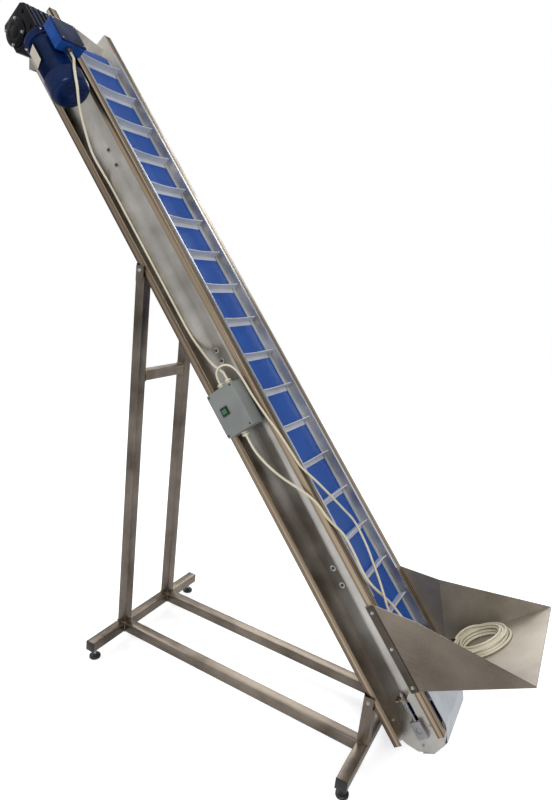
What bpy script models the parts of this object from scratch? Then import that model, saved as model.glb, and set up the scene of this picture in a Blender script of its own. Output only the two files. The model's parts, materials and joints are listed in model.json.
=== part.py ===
"""Inclined cleated belt conveyor with its stand, worm gearmotor, feed hopper, control box and leads.

Design frame: X runs from the rear cross beam towards the infeed, Y across the conveyor with the belt's
centre line at zero, Z up from the floor. Parts of the conveyor body are placed in its own frame, under the
"incline" empty: x is s, the distance down the slope, y is across, z is n, the height above the belt surface.
At the end the whole model is moved so that its bounding box stands centred on the origin.
"""

import math

import bmesh
import bpy
from mathutils import Matrix, Vector

# ---- Fits -------------------------------------------------------------------------------------------------
TOUCH = 0.0003  # gap between faces that touch
RUN = 0.0004  # radial clearance of a faceted shaft in its bore
SLIDE = 0.001  # clearance of a piece that slides or tilts beside another

# ---- Stand ------------------------------------------------------------------------------------------------
TUBE = 0.040
TUBE_WALL = 0.002
BEAM_UNDERSIDE = 0.0423
CROSS_BEAM_LENGTH = 0.658
STAND_LENGTH = 1.0888  # rear faces of the rear and front cross beams
TRACK = 0.274  # between the centre lines of the two long beams
RUNG_TOP = 1.1615
FOOT_INSET = 0.030
FOOT_PAD_R = 0.022
FOOT_PAD_H = 0.010
FOOT_BOSS_H = 0.008
FOOT_STEM_R = 0.006
FOOT_NUT_R = 0.0105
FOOT_NUT_H = 0.006
FOOT_STEM_UP = 0.030  # stem length inside the beam
TAB = 0.034
TAB_THICK = 0.003

# ---- Incline and belt -------------------------------------------------------------------------------------
INCLINE = math.radians(49.76)
TAIL_HEIGHT = 0.2110  # of the tail axis, above the floor
TAIL_PAST_STAND = 0.1506  # from the front cross beam's front face to the tail axis
CLEAT_PITCH = 0.1435
STRAIGHT_PITCHES = 19  # cleats on each straight run
CLEAT_PHASE = 0.507  # first carrying cleat below the head axis, in pitches
HEAD_S = -0.692
BELT_WIDTH = 0.216
BELT_THICK = 0.003
COVER_THICK = 0.001  # the belt's running face, which the cleats are welded to
CLEAT_WIDTH = 0.197
CLEAT_HEIGHT = 0.034
CLEAT_THICK = 0.004
CLEAT_FOOT = 0.0186
CLEAT_FOOT_THICK = 0.0015
TURN_R = CLEAT_PITCH / math.pi  # half a turn of the drum moves the belt by one pitch
TAIL_S = HEAD_S + STRAIGHT_PITCHES * CLEAT_PITCH
RETURN_N = -2 * TURN_R
BELT_X = STAND_LENGTH + TUBE + TAIL_PAST_STAND - TAIL_S * math.cos(INCLINE) + TURN_R * math.sin(INCLINE)
BELT_Z = TAIL_HEIGHT + TAIL_S * math.sin(INCLINE) + TURN_R * math.cos(INCLINE)

# ---- Side plates ------------------------------------------------------------------------------------------
SHEET = 0.002
WEB_Y = 0.117  # inner faces of the webs
FLANGE_Y = 0.151  # outer faces of the lips
PLATE_TOP = 0.037
PLATE_BOTTOM = -0.151
UPPER_LIP = 0.022
LOWER_LIP = 0.030
PLATE_HEAD_S = HEAD_S - 0.103
FLANGE_TAIL_S = TAIL_S + 0.0255
NOSE_REACH = 0.0875  # from the tail axis to the nose's end
TAKE_UP = 0.030
LEDGE_WIDTH = 0.0165
GUIDE_WIDTH = 0.0162
GUIDE_THICK = 0.005
TIE_R = 0.010
TIE_PLACES = (-0.21, 0.63, 1.49)
BED_LEG = 0.020
BED_THICK = 0.0015
HOOD_TOP_S = HEAD_S - 0.221
HOOD_TOP_N = -0.060
HOOD_DROP = 0.220
HOOD_BROW = 0.020

# ---- Drums and bearings -----------------------------------------------------------------------------------
DRUM_WALL = 0.004
DRUM_WIDTH = 0.212
SHAFT_R = 0.0125
TAIL_SHAFT_R = 0.010
BEARING_SIZE = 0.070
BEARING_THICK = 0.022
BLOCK_LENGTH = 0.060
BLOCK_HEIGHT = 0.038
BLOCK_THICK = 0.014
ROD_R = 0.004
BRACKET_S = TAIL_S - 0.1165

# ---- Drive ------------------------------------------------------------------------------------------------
DRIVE_PLATE_THICK = 0.005
GEARBOX_WIDTH = 0.113
GEARBOX_WALL = 0.0065
WORM_OFFSET = 0.048  # worm axis above the output axis
FLANGE_R = 0.055
FLANGE_LENGTH = 0.0294
FLANGE_RIM = 0.010
FLANGE_NECK_R = 0.038
WHEEL_TEETH = 40
WHEEL_TIP_R = 0.0325
WHEEL_ROOT_R = 0.0295
WHEEL_WIDTH = 0.020
WORM_R = 0.0150
WORM_LENGTH = 0.084
HUB_R = 0.0165
HOUSING_HALF = 0.060  # gearbox housing, along the slope
HOUSING_LOW = 0.042  # below and above the output axis
HOUSING_HIGH = 0.086
HOUSING_CORNER = 0.012
CHAMBER_R = 0.037
COVER_R = 0.049
COVER_EDGE = 0.004
MOTOR_R = 0.062
MOTOR_FLANGE_R = MOTOR_R + 0.008
MOTOR_START = 0.0605  # from the output axis down the slope
MOTOR_LENGTH = 0.177
MOTOR_BORE_R = MOTOR_R - 0.010
SHIELD_THICK = 0.010
STATOR_BORE_R = 0.0345
STATOR_INSET = 0.040  # from either end of the motor
SPINDLE_R = 0.0080
FAN_R = MOTOR_R - 0.006
FAN_GAP = 0.012
FAN_THICK = 0.012
FAN_COVER_LENGTH = 0.054
FAN_COVER_R = MOTOR_R + 0.0075
FAN_COVER_BEVEL = 0.018
FAN_COVER_LAP = 0.012
FAN_COVER_HOLE_R = 0.012
TERMINAL_START = 0.016  # the terminal box along the motor, from its flange face
TERMINAL_END = 0.112
TERMINAL_WIDTH = 0.104
TERMINAL_HEIGHT = 0.042

# ---- Control box ------------------------------------------------------------------------------------------
BOX_LOW_S = 0.747
BOX_HIGH_S = 0.910
BOX_LOW_N = -0.113
BOX_HIGH_N = 0.005
BOX_DEPTH = 0.065
LID_THICK = 0.018
BOX_WALL = 0.003
SWITCH_S = 0.824
SWITCH_N = -0.070
BEZEL = 0.031
ROCKER_LENGTH = 0.022
ROCKER_WIDTH = 0.018
ROCKER_TILT = math.radians(8)

# ---- Hopper -----------------------------------------------------------------------------------------------
HOPPER_SHEET = 0.002
HOPPER_LENGTH = 0.305  # of its side walls, along the flanges
HOPPER_FLOOR_S = TAIL_S - 0.1295
HOPPER_TOP_S = HOPPER_FLOOR_S - HOPPER_LENGTH
HOPPER_FLOOR_N = 0.050
HOPPER_RISE = 0.2234  # of the rim above the floor's low edge
HOPPER_RUN = 0.3012  # from the floor's low edge out to the lip
HOPPER_FOLD_BACK = 0.0638  # from the floor's low edge back to the walls' upper folds
HOPPER_LIP_Y = 0.233
BAR_WIDTH = 0.026
BAR_THICK = 0.003

# ---- Leads ------------------------------------------------------------------------------------------------
MOTOR_LEAD_D = 0.009
MAINS_LEAD_D = 0.009
SECOND_LEAD_D = 0.008
GLAND_Y = -0.183  # the glands' centre line on the control box
GLAND_BORE = 0.0040
GLAND_LENGTH = 0.019
GLAND_STRAIGHT = 0.0235  # a lead runs straight out of its gland for this far
MAINS_END_DEGREES = 248
SECOND_END_DEGREES = 280
MOTOR_GLAND = (HEAD_S + MOTOR_START + TERMINAL_END + TOUCH, -0.2494, -TURN_R + WORM_OFFSET + MOTOR_R + 0.022)
GLANDS = {
    "motor_gland": (MOTOR_GLAND, 1),
    "motor_lead_gland": ((BOX_LOW_S - TOUCH, GLAND_Y, -0.025), -1),
    "second_lead_gland": ((BOX_LOW_S - TOUCH, GLAND_Y, -0.059), -1),
    "mains_gland": ((BOX_HIGH_S + TOUCH, GLAND_Y, -0.063), 1),
}

# Routes in the incline's frame (s, y, n), from the gland outwards.
MOTOR_ROUTE = (
    (-0.440, -0.266, 0.0830), (-0.400, -0.277, 0.0760),
    (-0.372, -0.270, 0.0560), (-0.345, -0.248, 0.0150), (-0.298, -0.208, -0.0400), (-0.245, -0.170, -0.0860),
    (-0.185, -0.138, -0.1080), (-0.120, -0.126, -0.1135), (0.100, -0.126, -0.1140), (0.350, -0.126, -0.1140),
    (0.500, -0.127, -0.1120), (0.570, -0.134, -0.0980), (0.625, -0.152, -0.0760), (0.664, -0.172, -0.0520),
)
SECOND_ROUTE = (
    (0.684, -0.191, -0.0510), (0.679, -0.193, -0.0340),
    (0.680, -0.188, -0.0120), (0.697, -0.175, 0.0100), (0.735, -0.165, 0.0170), (0.820, -0.162, 0.0200),
    (0.900, -0.159, 0.0280), (0.970, -0.156, 0.0380), (1.050, -0.150, 0.0420), (1.105, -0.142, 0.0422),
    (1.165, -0.108, 0.0450), (1.230, -0.073, 0.0460), (1.310, -0.031, 0.0460), (1.365, -0.007, 0.0460),
    (1.450, -0.014, 0.0460), (1.510, -0.036, 0.0480), (1.555, -0.066, 0.0560), (1.600, -0.093, 0.0600),
    (1.660, -0.112, 0.0560), (1.740, -0.112, 0.0560), (1.820, -0.090, 0.0650),
)
MAINS_ROUTE = (
    (0.990, -0.176, -0.0660), (1.050, -0.165, -0.0560),
    (1.110, -0.161, -0.0300), (1.165, -0.161, 0.0060), (1.213, -0.160, 0.0330), (1.250, -0.156, 0.0420),
    (1.295, -0.148, 0.0422), (1.340, -0.126, 0.0440), (1.375, -0.112, 0.0460), (1.440, -0.112, 0.0460),
    (1.505, -0.120, 0.0460), (1.560, -0.108, 0.0460), (1.648, -0.063, 0.0500), (1.730, -0.050, 0.0580),
    (1.800, -0.040, 0.0680),
)
COIL_RUN = 0.1262  # from the hopper floor's low edge
COIL_Y = 0.074
COIL_R = 0.084  # middle of the mains lead's turns
COIL_WIDTH = 0.034
COIL_HEIGHT = 0.018
SECOND_COIL_R = 0.082
SECOND_COIL_WIDTH = 0.024
SECOND_COIL_HEIGHT = 0.012
PLUG_R = 0.0185
PLUG_LENGTH = 0.066
CONNECTOR_R = 0.0095
CONNECTOR_LENGTH = 0.050
COIL_SECTION = 12
COIL_SIDES = 32
LEAD_STEP = 2.6  # spacing of a lead's points, in diameters
FREE_LEAD_PIECES = ("mains_lead", "mains_coil", "mains_plug", "second_lead", "second_coil", "second_plug")

FINISHES = {
    "stainless": ((0.60, 0.58, 0.55), 1.0, 0.35),
    "bar_steel": ((0.36, 0.32, 0.29), 1.0, 0.40),
    "blue_belt": ((0.02, 0.16, 0.62), 0.0, 0.45),
    "pale_cleat": ((0.75, 0.82, 0.90), 0.0, 0.50),
    "white_plastic": ((0.85, 0.86, 0.86), 0.0, 0.40),
    "navy_enamel": ((0.02, 0.06, 0.20), 0.0, 0.25),
    "black_enamel": ((0.02, 0.02, 0.03), 0.0, 0.35),
    "black_rubber": ((0.03, 0.03, 0.03), 0.0, 0.70),
    "grey_plastic": ((0.48, 0.49, 0.48), 0.0, 0.45),
    "green_plastic": ((0.05, 0.45, 0.16), 0.0, 0.35),
    "cream_pvc": ((0.78, 0.74, 0.62), 0.0, 0.45),
    "bronze": ((0.60, 0.42, 0.20), 1.0, 0.35),
    "machined": ((0.55, 0.55, 0.56), 1.0, 0.30),
}


# ---- Helpers ----------------------------------------------------------------------------------------------
def clear_scene():
    for obj in list(bpy.data.objects):
        bpy.data.objects.remove(obj)


def empty(name, parent=None, location=(0, 0, 0), rotation=(0, 0, 0)):
    obj = bpy.data.objects.new(name, None)
    obj.parent = parent
    obj.location = location
    obj.rotation_euler = rotation
    bpy.context.scene.collection.objects.link(obj)
    return obj


def painted(obj, finish):
    colour, metallic, roughness = FINISHES[finish]
    material = bpy.data.materials.new(f"{obj.name}_{finish}")
    material.use_nodes = True
    shader = material.node_tree.nodes["Principled BSDF"]
    shader.inputs["Base Color"].default_value = (*colour, 1.0)
    shader.inputs["Metallic"].default_value = metallic
    shader.inputs["Roughness"].default_value = roughness
    obj.data.materials.clear()
    obj.data.materials.append(material)
    return obj


def piece(name, mesh_builder, parent, finish, location=(0, 0, 0), rotation=(0, 0, 0)):
    """Links the bmesh as an object whose faces point out; with no finish it is a tool for a Boolean."""
    mesh = bpy.data.meshes.new(name)
    bmesh.ops.recalc_face_normals(mesh_builder, faces=mesh_builder.faces)
    mesh_builder.to_mesh(mesh)
    mesh_builder.free()
    obj = bpy.data.objects.new(name, mesh)
    obj.parent = parent
    obj.location = location
    obj.rotation_euler = rotation
    bpy.context.scene.collection.objects.link(obj)
    if finish:
        painted(obj, finish)
    else:
        obj.hide_render = True
        obj.display_type = "WIRE"
    return obj


def combine(obj, tool, operation):
    modifier = obj.modifiers.new(tool.name, "BOOLEAN")
    modifier.operation = operation
    modifier.solver = "EXACT"
    modifier.object = tool


def cut(obj, *tools):
    for tool in tools:
        combine(obj, tool, "DIFFERENCE")


def join(obj, *tools):
    for tool in tools:
        combine(obj, tool, "UNION")


def block(low, high):
    """A box between two corners."""
    built = bmesh.new()
    size = [high[i] - low[i] for i in range(3)]
    middle = [(high[i] + low[i]) / 2 for i in range(3)]
    bmesh.ops.create_cube(built, size=1.0, matrix=Matrix.Translation(middle) @ Matrix.Diagonal((*size, 1.0)))
    return built


def prism(outline, along, low, high):
    """An outline drawn in the other two axes, in their X, Y, Z order, run along one axis."""
    built = bmesh.new()
    place = {
        "x": lambda a, b, t: (t, a, b),
        "y": lambda a, b, t: (a, t, b),
        "z": lambda a, b, t: (a, b, t),
    }[along]
    near = [built.verts.new(place(a, b, low)) for a, b in outline]
    far = [built.verts.new(place(a, b, high)) for a, b in outline]
    built.faces.new(near)
    built.faces.new(far)
    for i in range(len(outline)):
        j = (i + 1) % len(outline)
        built.faces.new((near[i], near[j], far[j], far[i]))
    return built


def turned(profile, along="y", segments=32):
    """A closed profile of (radius, distance along the axis) points turned about that axis."""
    built = bmesh.new()
    spot = {
        "x": lambda r, a, t: (t, r * math.cos(a), r * math.sin(a)),
        "y": lambda r, a, t: (r * math.cos(a), t, r * math.sin(a)),
        "z": lambda r, a, t: (r * math.cos(a), r * math.sin(a), t),
    }[along]
    rings = []
    for radius, t in profile:
        if radius == 0:
            rings.append([built.verts.new(spot(0, 0, t))])
            continue
        angles = [math.tau * k / segments for k in range(segments)]
        rings.append([built.verts.new(spot(radius, a, t)) for a in angles])
    for ring, following in zip(rings, rings[1:] + rings[:1]):
        for k in range(segments):
            corners = [ring[k % len(ring)], ring[(k + 1) % len(ring)]]
            corners += [following[(k + 1) % len(following)], following[k % len(following)]]
            corners = list(dict.fromkeys(corners))
            if len(corners) > 2:
                built.faces.new(corners)
    return built


def rounded(obj):
    obj.data.shade_smooth()
    obj.data.set_sharp_from_angle(angle=math.radians(35))
    return obj


def sides():
    return (("near", -1), ("far", 1))


def span(sign, inner, outer):
    """The low and high Y of a piece between two distances from the centre plane, on one side of it."""
    return (inner, outer) if sign > 0 else (-outer, -inner)


def in_world(s, y, n):
    """A point of the incline's frame in the design frame."""
    x = BELT_X + s * math.cos(INCLINE) + n * math.sin(INCLINE)
    z = BELT_Z - s * math.sin(INCLINE) + n * math.cos(INCLINE)
    return Vector((x, y, z))


def underside_at(x):
    """Height of the side plates' underside above a point of the floor."""
    return BELT_Z - math.tan(INCLINE) * (x - BELT_X) + (PLATE_BOTTOM - TOUCH) / math.cos(INCLINE)


# ---- Stand ------------------------------------------------------------------------------------------------
def square_tube(name, low, high, along, root, tops=None):
    """A square tube open at both ends; tops cuts an upright's upper end to two heights."""
    axis = "xyz".index(along)
    inner_low = [value + TUBE_WALL for value in low]
    inner_high = [value - TUBE_WALL for value in high]
    inner_low[axis] = low[axis] - TUBE
    inner_high[axis] = high[axis] + TUBE
    if tops:
        outline = [(low[0], low[2]), (high[0], low[2]), (high[0], tops[1]), (low[0], tops[0])]
        body = prism(outline, "y", low[1], high[1])
    else:
        body = block(low, high)
    tube = piece(name, body, root, "stainless")
    cut(tube, piece(f"{name}_bore", block(inner_low, inner_high), root, None))
    return tube


def build_cross_beams(root):
    top = BEAM_UNDERSIDE + TUBE
    half = CROSS_BEAM_LENGTH / 2
    for name, x in (("rear_cross_beam", 0.0), ("front_cross_beam", STAND_LENGTH)):
        beam = square_tube(name, (x, -half, BEAM_UNDERSIDE), (x + TUBE, half, top), "y", root)
        for side, sign in sides():
            hole = turned(
                [(0, BEAM_UNDERSIDE - TUBE_WALL), (FOOT_STEM_R + RUN, BEAM_UNDERSIDE - TUBE_WALL),
                 (FOOT_STEM_R + RUN, BEAM_UNDERSIDE + 2 * TUBE_WALL), (0, BEAM_UNDERSIDE + 2 * TUBE_WALL)],
                "z", 16,
            )
            place = (x + TUBE / 2, sign * (half - FOOT_INSET), 0)
            cut(beam, piece(f"{name}_{side}_stem_hole", hole, root, None, place))


def build_feet(root):
    """Levelling feet; each slides down out of its beam as its thread is wound out."""
    half = CROSS_BEAM_LENGTH / 2
    nut_low = BEAM_UNDERSIDE - TOUCH - FOOT_NUT_H
    boss = FOOT_PAD_H + FOOT_BOSS_H
    profile = [
        (0, 0), (FOOT_PAD_R, 0), (FOOT_PAD_R, FOOT_PAD_H), (2 * FOOT_STEM_R, boss),
        (FOOT_STEM_R, boss), (FOOT_STEM_R, nut_low), (FOOT_NUT_R, nut_low),
        (FOOT_NUT_R, BEAM_UNDERSIDE - TOUCH), (FOOT_STEM_R, BEAM_UNDERSIDE - TOUCH),
        (FOOT_STEM_R, BEAM_UNDERSIDE + FOOT_STEM_UP), (0, BEAM_UNDERSIDE + FOOT_STEM_UP),
    ]
    for end, x in (("rear", 0.0), ("front", STAND_LENGTH)):
        for side, sign in sides():
            place = (x + TUBE / 2, sign * (half - FOOT_INSET), 0)
            foot = piece(f"levelling_foot_{end}_{side}", turned(profile, "z", 16), root, "black_rubber", place)
            rounded(foot)


def build_long_beams(root):
    low_z = BEAM_UNDERSIDE
    for side, sign in sides():
        low_y = sign * TRACK / 2 - TUBE / 2
        low = (TUBE + TOUCH, low_y, low_z)
        high = (STAND_LENGTH - TOUCH, low_y + TUBE, low_z + TUBE)
        square_tube(f"long_beam_{side}", low, high, "x", root)


def build_posts(root):
    """Uprights on the rear beam and short posts on the front beam, cut to the conveyor's underside."""
    base = BEAM_UNDERSIDE + TUBE + TOUCH
    for kind, x in (("upright", 0.0), ("front_post", STAND_LENGTH)):
        for side, sign in sides():
            low_y = sign * TRACK / 2 - TUBE / 2
            tops = (underside_at(x), underside_at(x + TUBE))
            low = (x, low_y, base)
            high = (x + TUBE, low_y + TUBE, tops[0])
            post = square_tube(f"{kind}_{side}", low, high, "z", root, tops)
            lip_y = TRACK / 2 + TUBE / 2
            tab_low_y, tab_high_y = span(sign, lip_y - TUBE_WALL / 2, lip_y + TAB_THICK)
            middle = (tops[0] + tops[1]) / 2
            tab_x = x + (TUBE - TAB) / 2
            tab = block((tab_x, tab_low_y, middle - TUBE), (tab_x + TAB, tab_high_y, middle + TAB / 2))
            join(post, piece(f"{kind}_{side}_tab", tab, root, None))
    inner = TRACK / 2 - TUBE / 2 - TOUCH
    square_tube("upright_rung", (0.0, -inner, RUNG_TOP - TUBE), (TUBE, inner, RUNG_TOP), "y", root)


# ---- Side plates ------------------------------------------------------------------------------------------
def channel_outline(sign):
    """The channel's section in (y, n), opening away from the belt."""
    points = [
        (WEB_Y, PLATE_TOP), (FLANGE_Y, PLATE_TOP), (FLANGE_Y, PLATE_TOP - UPPER_LIP),
        (FLANGE_Y - SHEET, PLATE_TOP - UPPER_LIP), (FLANGE_Y - SHEET, PLATE_TOP - SHEET),
        (WEB_Y + SHEET, PLATE_TOP - SHEET), (WEB_Y + SHEET, PLATE_BOTTOM + SHEET),
        (FLANGE_Y - SHEET, PLATE_BOTTOM + SHEET), (FLANGE_Y - SHEET, PLATE_BOTTOM + LOWER_LIP),
        (FLANGE_Y, PLATE_BOTTOM + LOWER_LIP), (FLANGE_Y, PLATE_BOTTOM), (WEB_Y, PLATE_BOTTOM),
    ]
    return [(sign * y, n) for y, n in points]


def nose_outline():
    """The web's tail end in (s, n): an arc of five straight facets about the tail axis."""
    start = FLANGE_TAIL_S - TUBE
    points = [(start, PLATE_BOTTOM + SHEET), (start, PLATE_TOP - SHEET)]
    for degrees in (70, 35, 0, -35, -62):
        angle = math.radians(degrees)
        points.append((TAIL_S + NOSE_REACH * math.cos(angle), -TURN_R + NOSE_REACH * math.sin(angle)))
    return points


def build_side_plates(incline):
    slot_half = TAIL_SHAFT_R + SLIDE
    for side, sign in sides():
        name = f"side_plate_{side}"
        plate = piece(name, prism(channel_outline(sign), "x", PLATE_HEAD_S, FLANGE_TAIL_S), incline, "stainless")
        web = span(sign, WEB_Y, WEB_Y + SHEET)
        nose = piece(f"{name}_nose", prism(nose_outline(), "y", *web), incline, None)
        ledge_y = span(sign, WEB_Y - LEDGE_WIDTH, WEB_Y + SHEET / 2)
        ledge_top = RETURN_N - TOUCH
        ledge_low = (HEAD_S + TURN_R, ledge_y[0], ledge_top - SHEET)
        ledge_high = (TAIL_S - TURN_R - TAKE_UP, ledge_y[1], ledge_top)
        ledge = piece(f"{name}_ledge", block(ledge_low, ledge_high), incline, None)
        bracket_y = span(sign, WEB_Y + SHEET / 2, FLANGE_Y - SHEET - SLIDE)
        half_bracket = BLOCK_HEIGHT / 2
        bracket_low = (BRACKET_S, bracket_y[0], -TURN_R - half_bracket)
        bracket_high = (BRACKET_S + 2 * SHEET, bracket_y[1], -TURN_R + half_bracket)
        bracket = piece(f"{name}_bracket", block(bracket_low, bracket_high), incline, None)
        join(plate, nose, ledge, bracket)
        rod_y = sign * (WEB_Y + SHEET + BLOCK_THICK / 2 + TOUCH)
        rod_hole = turned(
            [(0, -BLOCK_HEIGHT), (ROD_R + RUN, -BLOCK_HEIGHT), (ROD_R + RUN, BLOCK_HEIGHT), (0, BLOCK_HEIGHT)],
            "x", 16,
        )
        rod_tool = piece(f"{name}_rod_hole", rod_hole, incline, None, (BRACKET_S, rod_y, -TURN_R))
        through = span(sign, WEB_Y - SHEET, WEB_Y + 2 * SHEET)
        slot_low = (TAIL_S - TAKE_UP - BLOCK_LENGTH, through[0], -TURN_R - slot_half)
        slot_high = (TAIL_S + slot_half, through[1], -TURN_R + slot_half)
        slot = piece(f"{name}_take_up_slot", block(slot_low, slot_high), incline, None)
        hole_r = SHAFT_R + SLIDE
        shaft_hole = turned([(0, through[0]), (hole_r, through[0]), (hole_r, through[1]), (0, through[1])], "y", 24)
        shaft_tool = piece(f"{name}_shaft_hole", shaft_hole, incline, None, (HEAD_S, 0, -TURN_R))
        cut(plate, rod_tool, slot, shaft_tool)


def build_bed_and_ties(incline):
    top = -BELT_THICK - TOUCH
    half = WEB_Y - TOUCH
    leg = half - BED_THICK
    outline = [
        (-half, top), (half, top), (half, top - BED_LEG), (leg, top - BED_LEG),
        (leg, top - BED_THICK), (-leg, top - BED_THICK), (-leg, top - BED_LEG), (-half, top - BED_LEG),
    ]
    start = HEAD_S + TURN_R
    end = TAIL_S - TURN_R - TAKE_UP - SHEET
    piece("slider_bed", prism(outline, "x", start, end), incline, "stainless")
    for number, s in enumerate(TIE_PLACES, start=1):
        profile = [
            (TIE_R - TUBE_WALL, -half), (TIE_R, -half), (TIE_R, half), (TIE_R - TUBE_WALL, half),
        ]
        tie = piece(f"cross_tie_{number}", turned(profile, "y", 16), incline, "stainless", (s, 0, -TURN_R))
        rounded(tie)


def build_guide_strips(incline):
    for side, sign in sides():
        low_y, high_y = span(sign, WEB_Y - TOUCH - GUIDE_WIDTH, WEB_Y - TOUCH)
        low = (HEAD_S, low_y, TOUCH)
        high = (TAIL_S - TURN_R, high_y, TOUCH + GUIDE_THICK)
        piece(f"guide_strip_{side}", block(low, high), incline, "white_plastic")


def build_tail_cover(incline):
    """A guard folded round the tail drum, clear of the cleats' tips as they turn."""
    reach = TURN_R + CLEAT_HEIGHT + SHEET + SLIDE
    inner = []
    outer = []
    for degrees in (84, 45, 0, -25):
        angle = math.radians(degrees)
        for points, radius in ((inner, reach), (outer, reach + SHEET)):
            # facets are pushed out so that their middles stay clear of the turning tips
            radius = radius / math.cos(math.radians(22.5))
            if degrees == 84:
                points.append((HOPPER_FLOOR_S + SLIDE, -TURN_R + radius * math.sin(angle)))
            points.append((TAIL_S + radius * math.cos(angle), -TURN_R + radius * math.sin(angle)))
    half = WEB_Y - TOUCH
    piece("tail_cover", prism(inner + outer[::-1], "y", -half, half), incline, "stainless")


def build_discharge_hood(incline):
    """Two cheeks inside the webs and a back wall that drops the load straight down."""
    drop = Vector((math.sin(INCLINE), -math.cos(INCLINE)))
    top = Vector((HOOD_TOP_S, HOOD_TOP_N))
    foot = top + drop * HOOD_DROP
    heel = foot + Vector((0.050, 0.045))
    brow = Vector((HEAD_S - TURN_R - HOOD_BROW, 0.0))
    cheek = [tuple(point) for point in (brow, top, foot, heel)]
    half = WEB_Y - TOUCH
    hood = piece("discharge_hood", prism(cheek, "y", -half, half), incline, "stainless")
    inward = Vector((math.cos(INCLINE), math.sin(INCLINE))) * SHEET
    over = drop * 0.050
    hollow = [
        tuple(top + inward - over), tuple(foot + inward + over), tuple(heel + over + Vector((0.2, 0.1))),
        tuple(brow + Vector((0.2, 0.2))), tuple(brow - over),
    ]
    room = half - SHEET
    cut(hood, piece("discharge_hood_room", prism(hollow, "y", -room, room), incline, None))


# ---- Belt, cleats and drums -------------------------------------------------------------------------------
def loop_outline(radius, steps):
    """A belt loop in (s, n) at a radius round both drums."""
    points = []
    for k in range(steps + 1):
        angle = math.pi / 2 + math.pi * k / steps
        points.append((HEAD_S + radius * math.cos(angle), -TURN_R + radius * math.sin(angle)))
    for k in range(steps + 1):
        angle = -math.pi / 2 + math.pi * k / steps
        points.append((TAIL_S + radius * math.cos(angle), -TURN_R + radius * math.sin(angle)))
    return points


def build_belt(incline):
    """The carcass is one static loop: a plain belt looks the same wherever it has travelled to."""
    built = bmesh.new()
    half = BELT_WIDTH / 2
    radii = (TURN_R - COVER_THICK - TOUCH, TURN_R - BELT_THICK)
    rings = []
    for radius in radii:
        for y in (-half, half):
            rings.append([built.verts.new((s, y, n)) for s, n in loop_outline(radius, 16)])
    count = len(rings[0])
    for first, second in ((0, 1), (1, 3), (3, 2), (2, 0)):
        for k in range(count):
            j = (k + 1) % count
            built.faces.new((rings[first][k], rings[first][j], rings[second][j], rings[second][k]))
    rounded(piece("belt_carcass", built, incline, "blue_belt"))


def cleat_section(foot_way):
    """A standing blade and its foot, from the belt face up; foot_way is +1 where the foot points along +x."""
    back = -foot_way * CLEAT_THICK / 2
    front = foot_way * CLEAT_THICK / 2
    toe = front + foot_way * (CLEAT_FOOT - CLEAT_THICK / 2)
    return [
        (back, 0), (toe, 0), (toe, CLEAT_FOOT_THICK), (front, CLEAT_FOOT_THICK),
        (front, CLEAT_HEIGHT), (back, CLEAT_HEIGHT),
    ]


def run_outline(first, count, foot_way):
    """A run of cleats standing on its strip of belt face, as one outline."""
    ends = (first - CLEAT_THICK / 2, first + (count - 1) * CLEAT_PITCH + CLEAT_THICK / 2)
    points = [(ends[1], -COVER_THICK), (ends[0], -COVER_THICK)]
    for k in range(count):
        place = first + k * CLEAT_PITCH
        section = cleat_section(foot_way)
        ordered = [section[0], section[5], section[4], section[3], section[2], section[1]]
        if foot_way < 0:
            ordered.reverse()
        if k == count - 1 and foot_way > 0:
            ordered = ordered[:3] + [(CLEAT_THICK / 2, 0)]
        if k == 0 and foot_way < 0:
            ordered = [(-CLEAT_THICK / 2, 0)] + ordered[3:]
        points += [(place + a, b) for a, b in ordered]
    return points


def build_cleats(incline):
    half = CLEAT_WIDTH / 2
    phase = CLEAT_PHASE * CLEAT_PITCH
    carry = run_outline(HEAD_S + phase, STRAIGHT_PITCHES, 1)
    piece("carry_cleats", prism(carry, "y", -half, half), incline, "pale_cleat")
    behind = (1 - CLEAT_PHASE) * CLEAT_PITCH
    # on the returning run the cleats hang down and their feet trail up the slope
    back_run = [(s, RETURN_N - n) for s, n in run_outline(HEAD_S + behind, STRAIGHT_PITCHES, -1)]
    piece("return_cleats", prism(back_run, "y", -half, half), incline, "pale_cleat")
    for name, axis_s, angle in (
        ("head_cleat", HEAD_S, math.pi / 2 + math.pi * (1 - CLEAT_PHASE)),
        ("tail_cleat", TAIL_S, math.pi / 2 - math.pi * CLEAT_PHASE),
    ):
        # drawn at the top of the drum with its foot pointing down the slope, then turned round the axis
        section = [(a, TURN_R + (b if b else -COVER_THICK)) for a, b in cleat_section(1)]
        place = (axis_s, 0, -TURN_R)
        turn = (0, math.pi / 2 - angle, 0)
        piece(name, prism(section, "y", -half, half), incline, "pale_cleat", place, turn)


def drum_profile(shaft_r, shaft_low, shaft_high):
    """An open drum on a middle disc and a through shaft, as (radius, y)."""
    outer = TURN_R - BELT_THICK - TOUCH
    inner = outer - DRUM_WALL
    half = DRUM_WIDTH / 2
    disc = DRUM_WALL
    return [
        (0, shaft_low), (shaft_r, shaft_low), (shaft_r, -disc), (inner, -disc), (inner, -half),
        (outer, -half), (outer, half), (inner, half), (inner, disc), (shaft_r, disc),
        (shaft_r, shaft_high), (0, shaft_high),
    ]


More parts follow.
